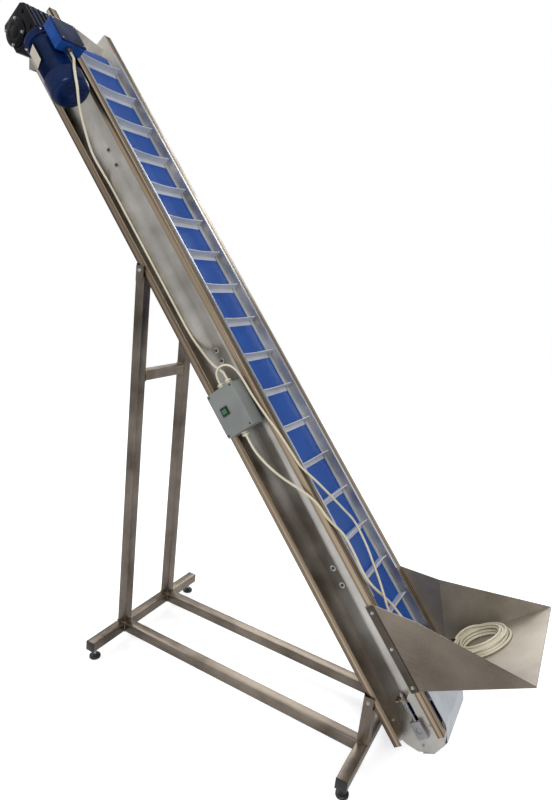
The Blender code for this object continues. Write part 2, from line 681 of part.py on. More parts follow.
def build_head_drum(incline):
    gearbox_face = -(FLANGE_Y + TOUCH + DRIVE_PLATE_THICK + FLANGE_LENGTH + GEARBOX_WIDTH)
    far_end = WEB_Y + SHEET + BEARING_THICK + SLIDE
    place = (HEAD_S, 0, -TURN_R)
    profile = drum_profile(SHAFT_R, gearbox_face + TUBE_WALL, far_end)
    rounded(piece("head_drum", turned(profile), incline, "machined", place))
    half = BEARING_SIZE / 2
    corner = half * 0.55
    outline = [
        (-half, -corner), (-corner, -half), (corner, -half), (half, -corner),
        (half, corner), (corner, half), (-corner, half), (-half, corner),
    ]
    for side, sign in sides():
        low_y, high_y = span(sign, WEB_Y + SHEET + TOUCH, WEB_Y + SHEET + BEARING_THICK)
        bearing = piece(f"head_bearing_{side}", prism(outline, "y", low_y, high_y), incline, "black_enamel", place)
        hole_r = SHAFT_R + RUN
        tool = turned([(0, low_y - SHEET), (hole_r, low_y - SHEET), (hole_r, high_y + SHEET), (0, high_y + SHEET)])
        cut(bearing, piece(f"head_bearing_{side}_bore", tool, incline, None, place))


def build_tail_drum(incline):
    """The take-up blocks carry the tail drum and slide up the slope when their rods are drawn in."""
    end = WEB_Y + SHEET + BLOCK_THICK
    place = (TAIL_S, 0, -TURN_R)
    rounded(piece("tail_drum", turned(drum_profile(TAIL_SHAFT_R, -end, end)), incline, "machined", place))
    half_height = BLOCK_HEIGHT / 2
    for side, sign in sides():
        low_y, high_y = span(sign, WEB_Y + SHEET + TOUCH, WEB_Y + SHEET + BLOCK_THICK)
        low = (-BLOCK_LENGTH / 2, low_y, -half_height)
        high = (BLOCK_LENGTH / 2, high_y, half_height)
        body = piece(f"take_up_block_{side}", block(low, high), incline, "machined", place)
        rod_y = (low_y + high_y) / 2
        reach = TAIL_S - BRACKET_S + 0.012
        rod = turned([(0, -reach), (ROD_R, -reach), (ROD_R, -BLOCK_LENGTH / 4), (0, -BLOCK_LENGTH / 4)], "x", 16)
        rod_place = (TAIL_S, rod_y, -TURN_R)
        join(body, piece(f"take_up_block_{side}_rod", rod, incline, None, rod_place))
        hole_r = TAIL_SHAFT_R + RUN
        tool = turned([(0, low_y - SHEET), (hole_r, low_y - SHEET), (hole_r, high_y + SHEET), (0, high_y + SHEET)])
        cut(body, piece(f"take_up_block_{side}_bore", tool, incline, None, place))


# ---- Drive ------------------------------------------------------------------------------------------------
def gear_outline(teeth, tip, root):
    points = []
    for k in range(teeth):
        for share, radius in ((0.0, root), (0.3, root), (0.45, tip), (0.85, tip)):
            angle = math.tau * (k + share) / teeth
            points.append((radius * math.cos(angle), radius * math.sin(angle)))
    return points


def build_drive_plate(incline):
    inner = -(FLANGE_Y + TOUCH)
    outer = inner - DRIVE_PLATE_THICK
    low = (PLATE_HEAD_S + 0.010, outer, PLATE_BOTTOM + 0.005)
    high = (HEAD_S + 0.090, inner, PLATE_TOP - 0.005)
    plate = piece("drive_plate", block(low, high), incline, "stainless")
    hole_r = HUB_R + SLIDE
    tool = turned([(0, outer - SHEET), (hole_r, outer - SHEET), (hole_r, inner + SHEET), (0, inner + SHEET)], "y", 24)
    cut(plate, piece("drive_plate_hole", tool, incline, None, (HEAD_S, 0, -TURN_R)))


def build_gearbox(incline):
    """A worm gearbox on the head shaft: its worm runs parallel to the belt, above the output axis."""
    flange_face = -(FLANGE_Y + TOUCH + DRIVE_PLATE_THICK + TOUCH)
    back = flange_face - FLANGE_LENGTH
    front = back - (GEARBOX_WIDTH - GEARBOX_WALL - TOUCH)
    place = (HEAD_S, 0, -TURN_R)
    inner = HOUSING_HALF - HOUSING_CORNER
    foot = -HOUSING_LOW + HOUSING_CORNER
    crown = HOUSING_HIGH - HOUSING_CORNER
    outline = [
        (-HOUSING_HALF, foot), (-inner, -HOUSING_LOW), (inner, -HOUSING_LOW), (HOUSING_HALF, foot),
        (HOUSING_HALF, crown), (inner, HOUSING_HIGH), (-inner, HOUSING_HIGH), (-HOUSING_HALF, crown),
    ]
    housing = piece("gearbox_housing", prism(outline, "y", front, back), incline, "black_enamel", place)
    flange = turned(
        [(0, flange_face), (FLANGE_R, flange_face), (FLANGE_R, flange_face - FLANGE_RIM),
         (FLANGE_NECK_R, back - SHEET), (0, back - SHEET)], "y", 32,
    )
    join(housing, piece("gearbox_flange", flange, incline, None, place))
    chamber = turned(
        [(0, front - SHEET), (CHAMBER_R, front - SHEET), (CHAMBER_R, back - GEARBOX_WALL),
         (0, back - GEARBOX_WALL)], "y", 32,
    )
    hub_hole = turned(
        [(0, front), (HUB_R + SLIDE, front), (HUB_R + SLIDE, flange_face + SHEET), (0, flange_face + SHEET)], "y", 24,
    )
    worm_room_r = WORM_R + 2 * SHEET
    worm_room_low = -WORM_LENGTH / 2 - 2 * TUBE_WALL
    worm_room_high = HOUSING_HALF + HOUSING_CORNER
    worm_hole = turned(
        [(0, worm_room_low), (worm_room_r, worm_room_low), (worm_room_r, worm_room_high), (0, worm_room_high)],
        "x", 24,
    )
    middle = (front + back) / 2
    cut(
        housing,
        piece("gearbox_chamber", chamber, incline, None, place),
        piece("gearbox_hub_hole", hub_hole, incline, None, place),
        piece("gearbox_worm_hole", worm_hole, incline, None, (HEAD_S, middle, -TURN_R + WORM_OFFSET)),
    )
    cover = [
        (HUB_R + SLIDE, front - TOUCH), (COVER_R, front - TOUCH), (COVER_R, front - COVER_EDGE),
        (COVER_R - COVER_EDGE, front - GEARBOX_WALL), (HUB_R + SLIDE, front - GEARBOX_WALL),
    ]
    rounded(piece("gearbox_cover", turned(cover), incline, "black_enamel", place))
    rim = (middle - WHEEL_WIDTH / 2, middle + WHEEL_WIDTH / 2)
    wheel = prism(gear_outline(WHEEL_TEETH, WHEEL_TIP_R, WHEEL_ROOT_R), "y", *rim)
    wheel = piece("worm_wheel", wheel, incline, "bronze", place)
    bore = SHAFT_R + TOUCH
    ends = (front - GEARBOX_WALL + TOUCH, flange_face - TOUCH)
    hub = turned([(0, ends[0]), (HUB_R, ends[0]), (HUB_R, ends[1]), (0, ends[1])], "y", 24)
    bore_tool = turned([(0, ends[0] - SHEET), (bore, ends[0] - SHEET), (bore, ends[1] + SHEET),
                        (0, ends[1] + SHEET)], "y", 24)
    join(wheel, piece("worm_wheel_hub", hub, incline, None, place))
    cut(wheel, piece("worm_wheel_bore", bore_tool, incline, None, place))
    return middle


def build_motor(incline, middle):
    """The motor lies along the slope beside the head, its fan end pointing down the slope."""
    place = (HEAD_S, middle, -TURN_R + WORM_OFFSET)
    start = MOTOR_START
    end = start + MOTOR_LENGTH
    shield = start + SHIELD_THICK
    stator = (start + STATOR_INSET, end - STATOR_INSET)
    mouth = WORM_R + 0.0045
    hole = SPINDLE_R + SLIDE
    housing = [
        (mouth, start), (MOTOR_FLANGE_R, start), (MOTOR_FLANGE_R, shield), (MOTOR_R, shield + 2 * TUBE_WALL),
        (MOTOR_R, end), (hole, end), (hole, end - SHIELD_THICK), (MOTOR_BORE_R, end - SHIELD_THICK),
        (MOTOR_BORE_R, stator[1]), (STATOR_BORE_R, stator[1]), (STATOR_BORE_R, stator[0]),
        (MOTOR_BORE_R, stator[0]), (MOTOR_BORE_R, shield), (mouth, shield),
    ]
    rounded(piece("motor_housing", turned(housing, "x"), incline, "navy_enamel", place))
    worm_end = WORM_LENGTH / 2
    core_r = STATOR_BORE_R - 1.5 * SLIDE
    core = (stator[0] + 2 * TUBE_WALL, stator[1] - 2 * TUBE_WALL)
    fan = (end + FAN_GAP, end + FAN_GAP + FAN_THICK)
    tip = fan[1] + SPINDLE_R
    rotor = [
        (0, -worm_end), (WORM_R, -worm_end), (WORM_R, worm_end), (SPINDLE_R, worm_end), (SPINDLE_R, core[0]),
        (core_r, core[0]), (core_r, core[1]), (SPINDLE_R, core[1]), (SPINDLE_R, fan[0]),
        (FAN_R, fan[0]), (FAN_R, fan[1]), (SPINDLE_R, fan[1]), (SPINDLE_R, tip), (0, tip),
    ]
    rounded(piece("motor_rotor", turned(rotor, "x"), incline, "machined", place))
    back = end + FAN_COVER_LENGTH
    shoulder = back - FAN_COVER_BEVEL
    crown_r = FAN_COVER_R - 0.8 * FAN_COVER_BEVEL
    cover = [
        (MOTOR_R + TOUCH, end - FAN_COVER_LAP), (FAN_COVER_R, end - FAN_COVER_LAP), (FAN_COVER_R, shoulder),
        (crown_r, back), (FAN_COVER_HOLE_R, back), (FAN_COVER_HOLE_R, back - SHEET),
        (crown_r - SHEET / 2, back - SHEET), (FAN_COVER_R - SHEET, shoulder - SHEET / 2),
        (FAN_COVER_R - SHEET, end + TOUCH), (MOTOR_R + TOUCH, end + TOUCH),
    ]
    rounded(piece("fan_cover", turned(cover, "x"), incline, "navy_enamel", place))
    half = TERMINAL_WIDTH / 2
    box_low = (start + TERMINAL_START, -half, MOTOR_R + TOUCH)
    box_high = (start + TERMINAL_END, half, MOTOR_R + TERMINAL_HEIGHT)
    terminal = piece("terminal_box", block(box_low, box_high), incline, "navy_enamel", place)
    hollow_low = (box_low[0] + BOX_WALL, box_low[1] + BOX_WALL, box_low[2] + 2 * BOX_WALL)
    hollow_high = (box_high[0] - BOX_WALL, box_high[1] - BOX_WALL, box_high[2] - BOX_WALL)
    # the room for the terminals is open through the floor, over the stator's wires
    wire_low = (start + 0.040, -0.015, MOTOR_R - BOX_WALL)
    wire_high = (start + 0.070, 0.015, MOTOR_R + 3 * BOX_WALL)
    cut(
        terminal,
        piece("terminal_box_room", block(hollow_low, hollow_high), incline, None, place),
        piece("terminal_box_wires", block(wire_low, wire_high), incline, None, place),
    )


def build_glands(incline):
    """Cable glands whose mouths point down the slope (+1) or up it (-1)."""
    for name, (place, way) in GLANDS.items():
        finish = "black_rubber" if name == "motor_gland" else "cream_pvc"
        profile = [
            (GLAND_BORE, 0), (0.0095, 0), (0.0095, 0.007), (0.0080, 0.008), (0.0080, 0.016),
            (GLAND_BORE + 0.0012, GLAND_LENGTH), (GLAND_BORE, GLAND_LENGTH),
        ]
        profile = [(radius, way * distance) for radius, distance in profile]
        rounded(piece(name, turned(profile, "x", 16), incline, finish, place))


# ---- Control box ------------------------------------------------------------------------------------------
def build_control_box(incline):
    back = -(FLANGE_Y + TOUCH)
    lid_back = back - (BOX_DEPTH - LID_THICK)
    front = back - BOX_DEPTH
    low = (BOX_LOW_S, lid_back + TOUCH, BOX_LOW_N)
    high = (BOX_HIGH_S, back, BOX_HIGH_N)
    box = piece("control_box", block(low, high), incline, "grey_plastic")
    web_face = -(WEB_Y + SHEET + TOUCH)
    middle_n = (BOX_LOW_N + BOX_HIGH_N) / 2
    for number, s in enumerate((BOX_LOW_S + 0.030, BOX_HIGH_S - 0.030), start=1):
        stud = turned([(0, back - BOX_WALL / 2), (0.008, back - BOX_WALL / 2), (0.008, web_face), (0, web_face)],
                      "y", 16)
        join(box, piece(f"control_box_spacer_{number}", stud, incline, None, (s, 0, middle_n)))
    room_low = (BOX_LOW_S + BOX_WALL, lid_back - BOX_WALL, BOX_LOW_N + BOX_WALL)
    room_high = (BOX_HIGH_S - BOX_WALL, back - BOX_WALL, BOX_HIGH_N - BOX_WALL)
    cut(box, piece("control_box_room", block(room_low, room_high), incline, None))
    lid = piece("control_lid", block((BOX_LOW_S, front, BOX_LOW_N), (BOX_HIGH_S, lid_back - TOUCH, BOX_HIGH_N)),
                incline, "grey_plastic")
    lid_room = block((room_low[0], front + BOX_WALL, room_low[2]), (room_high[0], lid_back + BOX_WALL, room_high[2]))
    window = BEZEL / 2 - 2 * SHEET
    switch_window = block(
        (SWITCH_S - window, front - BOX_WALL, SWITCH_N - window),
        (SWITCH_S + window, front + 2 * BOX_WALL, SWITCH_N + window),
    )
    cut(
        lid,
        piece("control_lid_room", lid_room, incline, None),
        piece("control_lid_window", switch_window, incline, None),
    )
    build_switch(incline, front)


def build_switch(incline, front):
    """A square frame on the lid and a rocker that tips between its two ends about an axis along the slope."""
    half = BEZEL / 2
    depth = 0.010
    bezel = piece(
        "switch_bezel",
        block((SWITCH_S - half, front - 0.004, SWITCH_N - half), (SWITCH_S + half, front - TOUCH, SWITCH_N + half)),
        incline, "black_rubber",
    )
    body = half - 2 * SHEET - TOUCH
    sleeve = block((SWITCH_S - body, front - 0.002, SWITCH_N - body), (SWITCH_S + body, front + depth, SWITCH_N + body))
    join(bezel, piece("switch_bezel_sleeve", sleeve, incline, None))
    opening = (ROCKER_WIDTH / 2 + SLIDE, ROCKER_LENGTH / 2 + SLIDE)
    well = block(
        (SWITCH_S - opening[0], front - 2 * depth, SWITCH_N - opening[1]),
        (SWITCH_S + opening[0], front + depth - SHEET, SWITCH_N + opening[1]),
    )
    cut(bezel, piece("switch_bezel_well", well, incline, None))
    long_half = ROCKER_LENGTH / 2
    outline = [
        (-0.0055, -long_half), (-0.0040, 0), (-0.0055, long_half), (0.0030, long_half * 0.75),
        (0.0030, -long_half * 0.75),
    ]
    tilt = Matrix.Rotation(ROCKER_TILT, 4, "X")
    rocker = prism(outline, "x", -ROCKER_WIDTH / 2, ROCKER_WIDTH / 2)
    bmesh.ops.transform(rocker, matrix=tilt, verts=rocker.verts)
    piece("switch_rocker", rocker, incline, "green_plastic", (SWITCH_S, front, SWITCH_N))


# ---- Hopper -----------------------------------------------------------------------------------------------
def build_hopper(root, incline):
    """One folded sheet: two side walls bolted outside the lips, with flared ends, and a sloping floor."""
    wall_y = FLANGE_Y + TOUCH + HOPPER_SHEET / 2
    skirt_n = PLATE_TOP - UPPER_LIP - 0.006
    floor_point = in_world(HOPPER_FLOOR_S, 0, HOPPER_FLOOR_N)
    rim_z = floor_point.z + HOPPER_RISE
    top_n = (rim_z - BELT_Z + HOPPER_TOP_S * math.sin(INCLINE)) / math.cos(INCLINE)
    built = bmesh.new()
    corners = {}
    for side, sign in sides():
        y = sign * wall_y
        corners[side] = {
            "skirt_top": in_world(HOPPER_TOP_S, y, skirt_n),
            "skirt_foot": in_world(HOPPER_FLOOR_S, y, skirt_n),
            "floor": Vector((floor_point.x, y, floor_point.z)),
            "fold": Vector((floor_point.x - HOPPER_FOLD_BACK, y, rim_z)),
            "rim": in_world(HOPPER_TOP_S, y, top_n),
            "lip": Vector((floor_point.x + HOPPER_RUN, sign * HOPPER_LIP_Y, rim_z)),
        }
        corners[side] = {key: built.verts.new(value) for key, value in corners[side].items()}
        c = corners[side]
        order = [c["skirt_top"], c["skirt_foot"], c["floor"], c["fold"], c["rim"]]
        flare = [c["floor"], c["lip"], c["fold"]]
        if sign > 0:
            order.reverse()
            flare.reverse()
        built.faces.new(order)
        built.faces.new(flare)
    near, far = corners["near"], corners["far"]
    built.faces.new((near["floor"], far["floor"], far["lip"], near["lip"]))
    sheet = piece("hopper", built, root, "stainless")
    solid = sheet.modifiers.new("sheet", "SOLIDIFY")
    solid.thickness = HOPPER_SHEET
    solid.offset = 0
    solid.use_even_offset = True
    outer = FLANGE_Y + TOUCH + HOPPER_SHEET + TOUCH
    for side, sign in sides():
        low_y, high_y = span(sign, outer, outer + BAR_THICK)
        low = (HOPPER_TOP_S + 0.004, low_y, PLATE_TOP - UPPER_LIP - 0.002)
        high = (HOPPER_FLOOR_S - 0.002, high_y, PLATE_TOP - UPPER_LIP - 0.002 + BAR_WIDTH)
        piece(f"hopper_bar_{side}", block(low, high), incline, "bar_steel")


def hopper_floor_frame(run, y, lift):
    """A point above the hopper's floor, and the turn about Y that lays X up the sheet and Z square to it."""
    low = in_world(HOPPER_FLOOR_S, 0, HOPPER_FLOOR_N)
    slope = math.atan2(HOPPER_RISE, HOPPER_RUN)
    normal = Vector((-math.sin(slope), 0, math.cos(slope)))
    spot = Vector((low.x + run, y, low.z + run * math.tan(slope))) + normal * (HOPPER_SHEET / 2 + 2 * TOUCH + lift)
    return spot, -slope


# ---- Leads ------------------------------------------------------------------------------------------------
def smooth_points(route, spacing):
    """Points at an even spacing along a smooth curve through the route's own points."""
    points = [Vector(p) for p in route]
    padded = [2 * points[0] - points[1]] + points + [2 * points[-1] - points[-2]]
    dense = []
    for i in range(1, len(padded) - 2):
        before, start, end, after = padded[i - 1:i + 3]
        for k in range(24):
            t = k / 24
            dense.append(0.5 * (2 * start + (end - before) * t + (2 * before - 5 * start + 4 * end - after) * t ** 2
                                + (3 * start - before - 3 * end + after) * t ** 3))
    dense.append(points[-1])
    lengths = [0.0]
    for a, b in zip(dense, dense[1:]):
        lengths.append(lengths[-1] + (b - a).length)
    count = max(2, round(lengths[-1] / spacing))
    found = []
    index = 0
    for k in range(count + 1):
        goal = lengths[-1] * k / count
        while index < len(dense) - 2 and lengths[index + 1] < goal:
            index += 1
        share = (goal - lengths[index]) / max(lengths[index + 1] - lengths[index], 1e-9)
        found.append(dense[index].lerp(dense[index + 1], share))
    return found


def lead(name, points, diameter, root):
    curve = bpy.data.curves.new(name, "CURVE")
    curve.dimensions = "3D"
    curve.bevel_depth = diameter / 2
    curve.bevel_resolution = 2
    curve.use_fill_caps = True
    spline = curve.splines.new("POLY")
    spline.points.add(len(points) - 1)
    for target, point in zip(spline.points, points):
        target.co = (*point, 1.0)
    obj = bpy.data.objects.new(name, curve)
    obj.parent = root
    bpy.context.scene.collection.objects.link(obj)
    return painted(obj, "cream_pvc")


def coil(name, root, radius, width, height, lift):
    """One closed ring of the outer shape of a coiled lead, lying on the hopper's floor."""
    spot, pitch = hopper_floor_frame(COIL_RUN, COIL_Y, lift)
    section = []
    for k in range(COIL_SECTION):
        angle = math.tau * k / COIL_SECTION
        section.append((radius + width / 2 * math.cos(angle), height / 2 + height / 2 * math.sin(angle)))
    return rounded(piece(name, turned(section, "z", COIL_SIDES), root, "cream_pvc", spot, (0, pitch, 0)))


def out_of_gland(name):
    """The two points where a lead leaves its gland: at the mouth, and a little way straight out of it."""
    place, way = GLANDS[name]
    mouth = Vector(place) + Vector((way * (GLAND_LENGTH + 2 * TOUCH), 0, 0))
    return [tuple(mouth), tuple(mouth + Vector((way * GLAND_STRAIGHT, 0, 0)))]


def lead_end(reach, degrees, lift, diameter):
    """Where a lead meets its coil: just outside the ring, at an angle round the hopper floor's normal."""
    spot, pitch = hopper_floor_frame(COIL_RUN, COIL_Y, lift)
    angle = math.radians(degrees)
    distance = reach * math.cos(math.pi / COIL_SIDES) + diameter / 2 + TOUCH
    out = Vector((math.cos(angle), math.sin(angle), 0)) * distance
    return spot + Matrix.Rotation(pitch, 4, "Y") @ out


def build_leads(root):
    motor = out_of_gland("motor_gland") + list(MOTOR_ROUTE) + out_of_gland("motor_lead_gland")[::-1]
    motor = [in_world(*point) for point in motor]
    lead("motor_lead", smooth_points(motor, LEAD_STEP * MOTOR_LEAD_D), MOTOR_LEAD_D, root)
    mains = [in_world(*point) for point in out_of_gland("mains_gland") + list(MAINS_ROUTE)]
    mains.append(lead_end(COIL_R + COIL_WIDTH / 2, MAINS_END_DEGREES, COIL_HEIGHT / 2, MAINS_LEAD_D))
    lead("mains_lead", smooth_points(mains, LEAD_STEP * MAINS_LEAD_D), MAINS_LEAD_D, root)
    second_lift = COIL_HEIGHT + TOUCH + SECOND_COIL_HEIGHT / 2
    second = [in_world(*point) for point in out_of_gland("second_lead_gland") + list(SECOND_ROUTE)]
    second.append(lead_end(SECOND_COIL_R + SECOND_COIL_WIDTH / 2, SECOND_END_DEGREES, second_lift, SECOND_LEAD_D))
    lead("second_lead", smooth_points(second, LEAD_STEP * SECOND_LEAD_D), SECOND_LEAD_D, root)


def build_coils_and_plugs(root):
    coil("mains_coil", root, COIL_R, COIL_WIDTH, COIL_HEIGHT, 0.0)
    coil("second_coil", root, SECOND_COIL_R, SECOND_COIL_WIDTH, SECOND_COIL_HEIGHT, COIL_HEIGHT + TOUCH)
    plug = [
        (0, 0), (MAINS_LEAD_D / 2 + TOUCH, 0), (0.0085, 0.030), (0.0150, 0.036), (PLUG_R, 0.046),
        (PLUG_R, PLUG_LENGTH), (0, PLUG_LENGTH),
    ]
    connector = [
        (0, 0), (SECOND_LEAD_D / 2 + TOUCH, 0), (0.0075, 0.022), (CONNECTOR_R, 0.026),
        (CONNECTOR_R, CONNECTOR_LENGTH), (0, CONNECTOR_LENGTH),
    ]
    mains_reach = COIL_R + COIL_WIDTH / 2
    second_reach = SECOND_COIL_R + SECOND_COIL_WIDTH / 2
    second_lift = COIL_HEIGHT + TOUCH + SECOND_COIL_HEIGHT / 2
    # the mains plug rests on its shoulder, and the connector leans down from the upper coil to the sheet
    for name, profile, degrees, reach, lift, lean in (
        ("mains_plug", plug, 214, mains_reach, COIL_HEIGHT / 2 + SLIDE, -10.5),
        ("second_plug", connector, 168, second_reach, second_lift, 17.5),
    ):
        spot, pitch = hopper_floor_frame(COIL_RUN, COIL_Y, lift)
        turn = Matrix.Rotation(pitch, 4, "Y") @ Matrix.Rotation(math.radians(degrees), 4, "Z")
        place = spot + turn @ Vector((reach + TOUCH, 0, 0))
        lying = turn @ Matrix.Rotation(math.radians(lean), 4, "Y")
        rounded(piece(name, turned(profile, "x", 16), root, "black_rubber", place, lying.to_euler()))


# ---- Assembly ---------------------------------------------------------------------------------------------
def stand_on_origin(origin, left_out):
    """Moves the model so that the box round everything but the free leads stands centred on the origin."""
    bpy.context.view_layer.update()
    depsgraph = bpy.context.evaluated_depsgraph_get()
    corners = []
    for obj in bpy.context.scene.objects:
        if obj.type == "EMPTY" or obj.hide_render or obj.name in left_out:
            continue
        shape = obj.evaluated_get(depsgraph)
        corners += [obj.matrix_world @ vertex.co for vertex in shape.to_mesh().vertices]
        shape.to_mesh_clear()
    low = Vector([min(corner[i] for corner in corners) for i in range(3)])
    high = Vector([max(corner[i] for corner in corners) for i in range(3)])
    origin.location = (-(low.x + high.x) / 2, -(low.y + high.y) / 2, -low.z)


def build():
    clear_scene()
    root = empty("conveyor")
    incline = empty("incline", root, (BELT_X, 0, BELT_Z), (0, INCLINE, 0))
    build_cross_beams(root)
    build_feet(root)
    build_long_beams(root)
    build_posts(root)
    build_side_plates(incline)
    build_bed_and_ties(incline)
    build_guide_strips(incline)
    build_tail_cover(incline)
    build_discharge_hood(incline)
    build_belt(incline)
    build_cleats(incline)
    build_head_drum(incline)
    build_tail_drum(incline)
    build_drive_plate(incline)
    middle = build_gearbox(incline)
    build_motor(incline, middle)
    build_control_box(incline)
    build_glands(incline)
    build_hopper(root, incline)
    build_coils_and_plugs(root)
    build_leads(root)
    stand_on_origin(root, FREE_LEAD_PIECES)


build()
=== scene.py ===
import json
import math

import bmesh
import bpy
from mathutils import Matrix, Vector


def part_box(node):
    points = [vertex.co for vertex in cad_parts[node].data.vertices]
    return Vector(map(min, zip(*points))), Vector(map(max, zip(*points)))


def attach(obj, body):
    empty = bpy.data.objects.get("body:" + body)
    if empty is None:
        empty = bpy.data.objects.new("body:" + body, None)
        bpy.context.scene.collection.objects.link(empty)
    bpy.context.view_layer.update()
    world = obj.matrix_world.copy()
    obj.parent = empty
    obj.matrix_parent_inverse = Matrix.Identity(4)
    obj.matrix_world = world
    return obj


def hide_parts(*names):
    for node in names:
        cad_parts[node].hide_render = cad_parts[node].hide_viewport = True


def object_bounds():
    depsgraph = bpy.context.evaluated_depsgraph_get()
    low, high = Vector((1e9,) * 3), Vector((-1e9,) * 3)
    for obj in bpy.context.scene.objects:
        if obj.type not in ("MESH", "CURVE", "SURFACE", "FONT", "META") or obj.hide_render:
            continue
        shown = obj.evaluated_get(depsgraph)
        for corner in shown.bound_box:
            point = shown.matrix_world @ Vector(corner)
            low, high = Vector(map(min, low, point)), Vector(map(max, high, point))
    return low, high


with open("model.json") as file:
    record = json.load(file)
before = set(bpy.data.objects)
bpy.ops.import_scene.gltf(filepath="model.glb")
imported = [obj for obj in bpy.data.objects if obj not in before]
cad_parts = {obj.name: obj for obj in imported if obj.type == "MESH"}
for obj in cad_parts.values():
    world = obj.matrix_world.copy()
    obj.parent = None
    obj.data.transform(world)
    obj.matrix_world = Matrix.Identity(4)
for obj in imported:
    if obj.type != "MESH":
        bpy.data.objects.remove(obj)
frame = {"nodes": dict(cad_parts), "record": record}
cadLow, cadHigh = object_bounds()
cadNodes = frame["nodes"]
print("frame loaded:", len(cadNodes), "nodes")

# The conveyor body has its own frame: s runs down the slope, y across, n up from the belt's face.
incline = {"angleDeg": 49.76, "beltHeight": 1.793533, "headS": -0.692, "pitch": 0.1435, "pitches": 19,
           "phase": 0.507}
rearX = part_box("rear_cross_beam")[0].x  # rear face of the stand
slopeAngle = (0, math.radians(incline["angleDeg"]), 0)
slopeTurn = Matrix.Rotation(slopeAngle[1], 4, "Y")
slopeMatrix = Matrix.Translation((rearX, 0, incline["beltHeight"])) @ slopeTurn
turnRadius = incline["pitch"] / math.pi
tailS = incline["headS"] + incline["pitches"] * incline["pitch"]


def onSlope(s, y, n):
    return slopeMatrix @ Vector((s, y, n))


# ---- colour and nodes
def srgb(hexColour):
    values = [int(hexColour[i:i + 2], 16) / 255 for i in (1, 3, 5)]
    linear = [v / 12.92 if v <= 0.04045 else ((v + 0.055) / 1.055) ** 2.4 for v in values]
    return (*linear, 1.0)


def addNode(tree, kind, settings=None, links=None):
    node = tree.nodes.new(kind)
    for name, value in (settings or {}).items():
        if isinstance(name, int) or name in node.inputs:
            node.inputs[name].default_value = value
        else:
            setattr(node, name, value)
    for name, source in (links or {}).items():
        tree.links.new(source, node.inputs[name])
    return node


def newSurface(name):
    material = bpy.data.materials.new(name)
    material.use_nodes = True
    tree = material.node_tree
    tree.nodes.clear()
    shader = addNode(tree, "ShaderNodeBsdfPrincipled")
    addNode(tree, "ShaderNodeOutputMaterial", links={"Surface": shader.outputs["BSDF"]})
    where = addNode(tree, "ShaderNodeTexCoord").outputs["Object"]
    return material, tree, shader, where


def patterned(tree, shader, tone, hexes, rough=None, relief=None):
    # drives a surface's colour, roughness and relief from its patterns:
    # tone is (pattern, low, high), rough the same with two values, relief is (pattern, strength, metres)
    pattern, low, high = tone
    share = addNode(tree, "ShaderNodeMapRange", {"From Min": low, "From Max": high}, {"Value": pattern})
    mix = addNode(tree, "ShaderNodeMix", {"data_type": "RGBA", 6: srgb(hexes[0]), 7: srgb(hexes[1])},
                  {0: share.outputs["Result"]})
    tree.links.new(mix.outputs[2], shader.inputs["Base Color"])
    if rough:
        pattern, low, high, least, most = rough
        share = addNode(tree, "ShaderNodeMapRange",
                        {"From Min": low, "From Max": high, "To Min": least, "To Max": most},
                        {"Value": pattern})
        tree.links.new(share.outputs["Result"], shader.inputs["Roughness"])
    if relief:
        pattern, strength, metres = relief
        bump = addNode(tree, "ShaderNodeBump", {"Strength": strength, "Distance": metres},
                       {"Height": pattern})
        tree.links.new(bump.outputs["Normal"], shader.inputs["Normal"])


metal = {
    # grit marks about 0.5 mm apart, drawn 1.2 mm apart so that they show, and each 60 mm long
    "gritPerMetre": 800, "gritStretch": 0.02, "gritShare": 0.35, "cloudPerMetre": 7, "streakStretch": 0.003,
    "roughLow": 0.26, "roughHigh": 0.44, "bump": 0.035,
}


def brushedStainless(name, turn, dark, light, roughShift=0.0, cloudPerMetre=None, streakPerMetre=0.0):
    # cold-drawn or cold-rolled 304 stainless, ground with a belt along its length: long fine marks that
    # stretch its highlights, and slow cloudy patches where the grinding was heavier
    material, tree, shader, where = newSurface(name)
    laid = addNode(tree, "ShaderNodeMapping", {"vector_type": "TEXTURE", "Rotation": turn},
                   {"Vector": where}).outputs["Vector"]
    drawn = addNode(tree, "ShaderNodeMapping", {"Scale": (metal["gritStretch"], 1, 1)}, {"Vector": laid})
    grit = addNode(tree, "ShaderNodeTexNoise", {"Scale": metal["gritPerMetre"], "Detail": 3.0},
                   {"Vector": drawn.outputs["Vector"]}).outputs["Fac"]
    cloud = addNode(tree, "ShaderNodeTexNoise", {"Scale": cloudPerMetre or metal["cloudPerMetre"],
                                                 "Detail": 4.0}, {"Vector": where}).outputs["Fac"]
    both = addNode(tree, "ShaderNodeMath", {"operation": "MULTIPLY_ADD", 1: metal["gritShare"]},
                   {0: grit, 2: cloud}).outputs[0]
    tone, relief = (both, 0.45, 0.9), grit
    if streakPerMetre:
        # rolling streaks that run the sheet's whole length, a few millimetres wide; on the lip and the hem
        # they also serve as painted reflection and highlight stripes
        long = addNode(tree, "ShaderNodeMapping", {"Scale": (metal["streakStretch"], 1, 1)}, {"Vector": laid})
        relief = addNode(tree, "ShaderNodeTexNoise", {"Scale": streakPerMetre, "Detail": 1.0},
                         {"Vector": long.outputs["Vector"]}).outputs["Fac"]
        tone = (relief, 0.36, 0.64)
    shader.inputs["Metallic"].default_value = 1.0
    patterned(tree, shader, tone, (dark, light),
              (both, 0.4, 0.9, metal["roughLow"] + roughShift, metal["roughHigh"] + roughShift),
              (relief, metal["bump"], 0.0004))
    return material


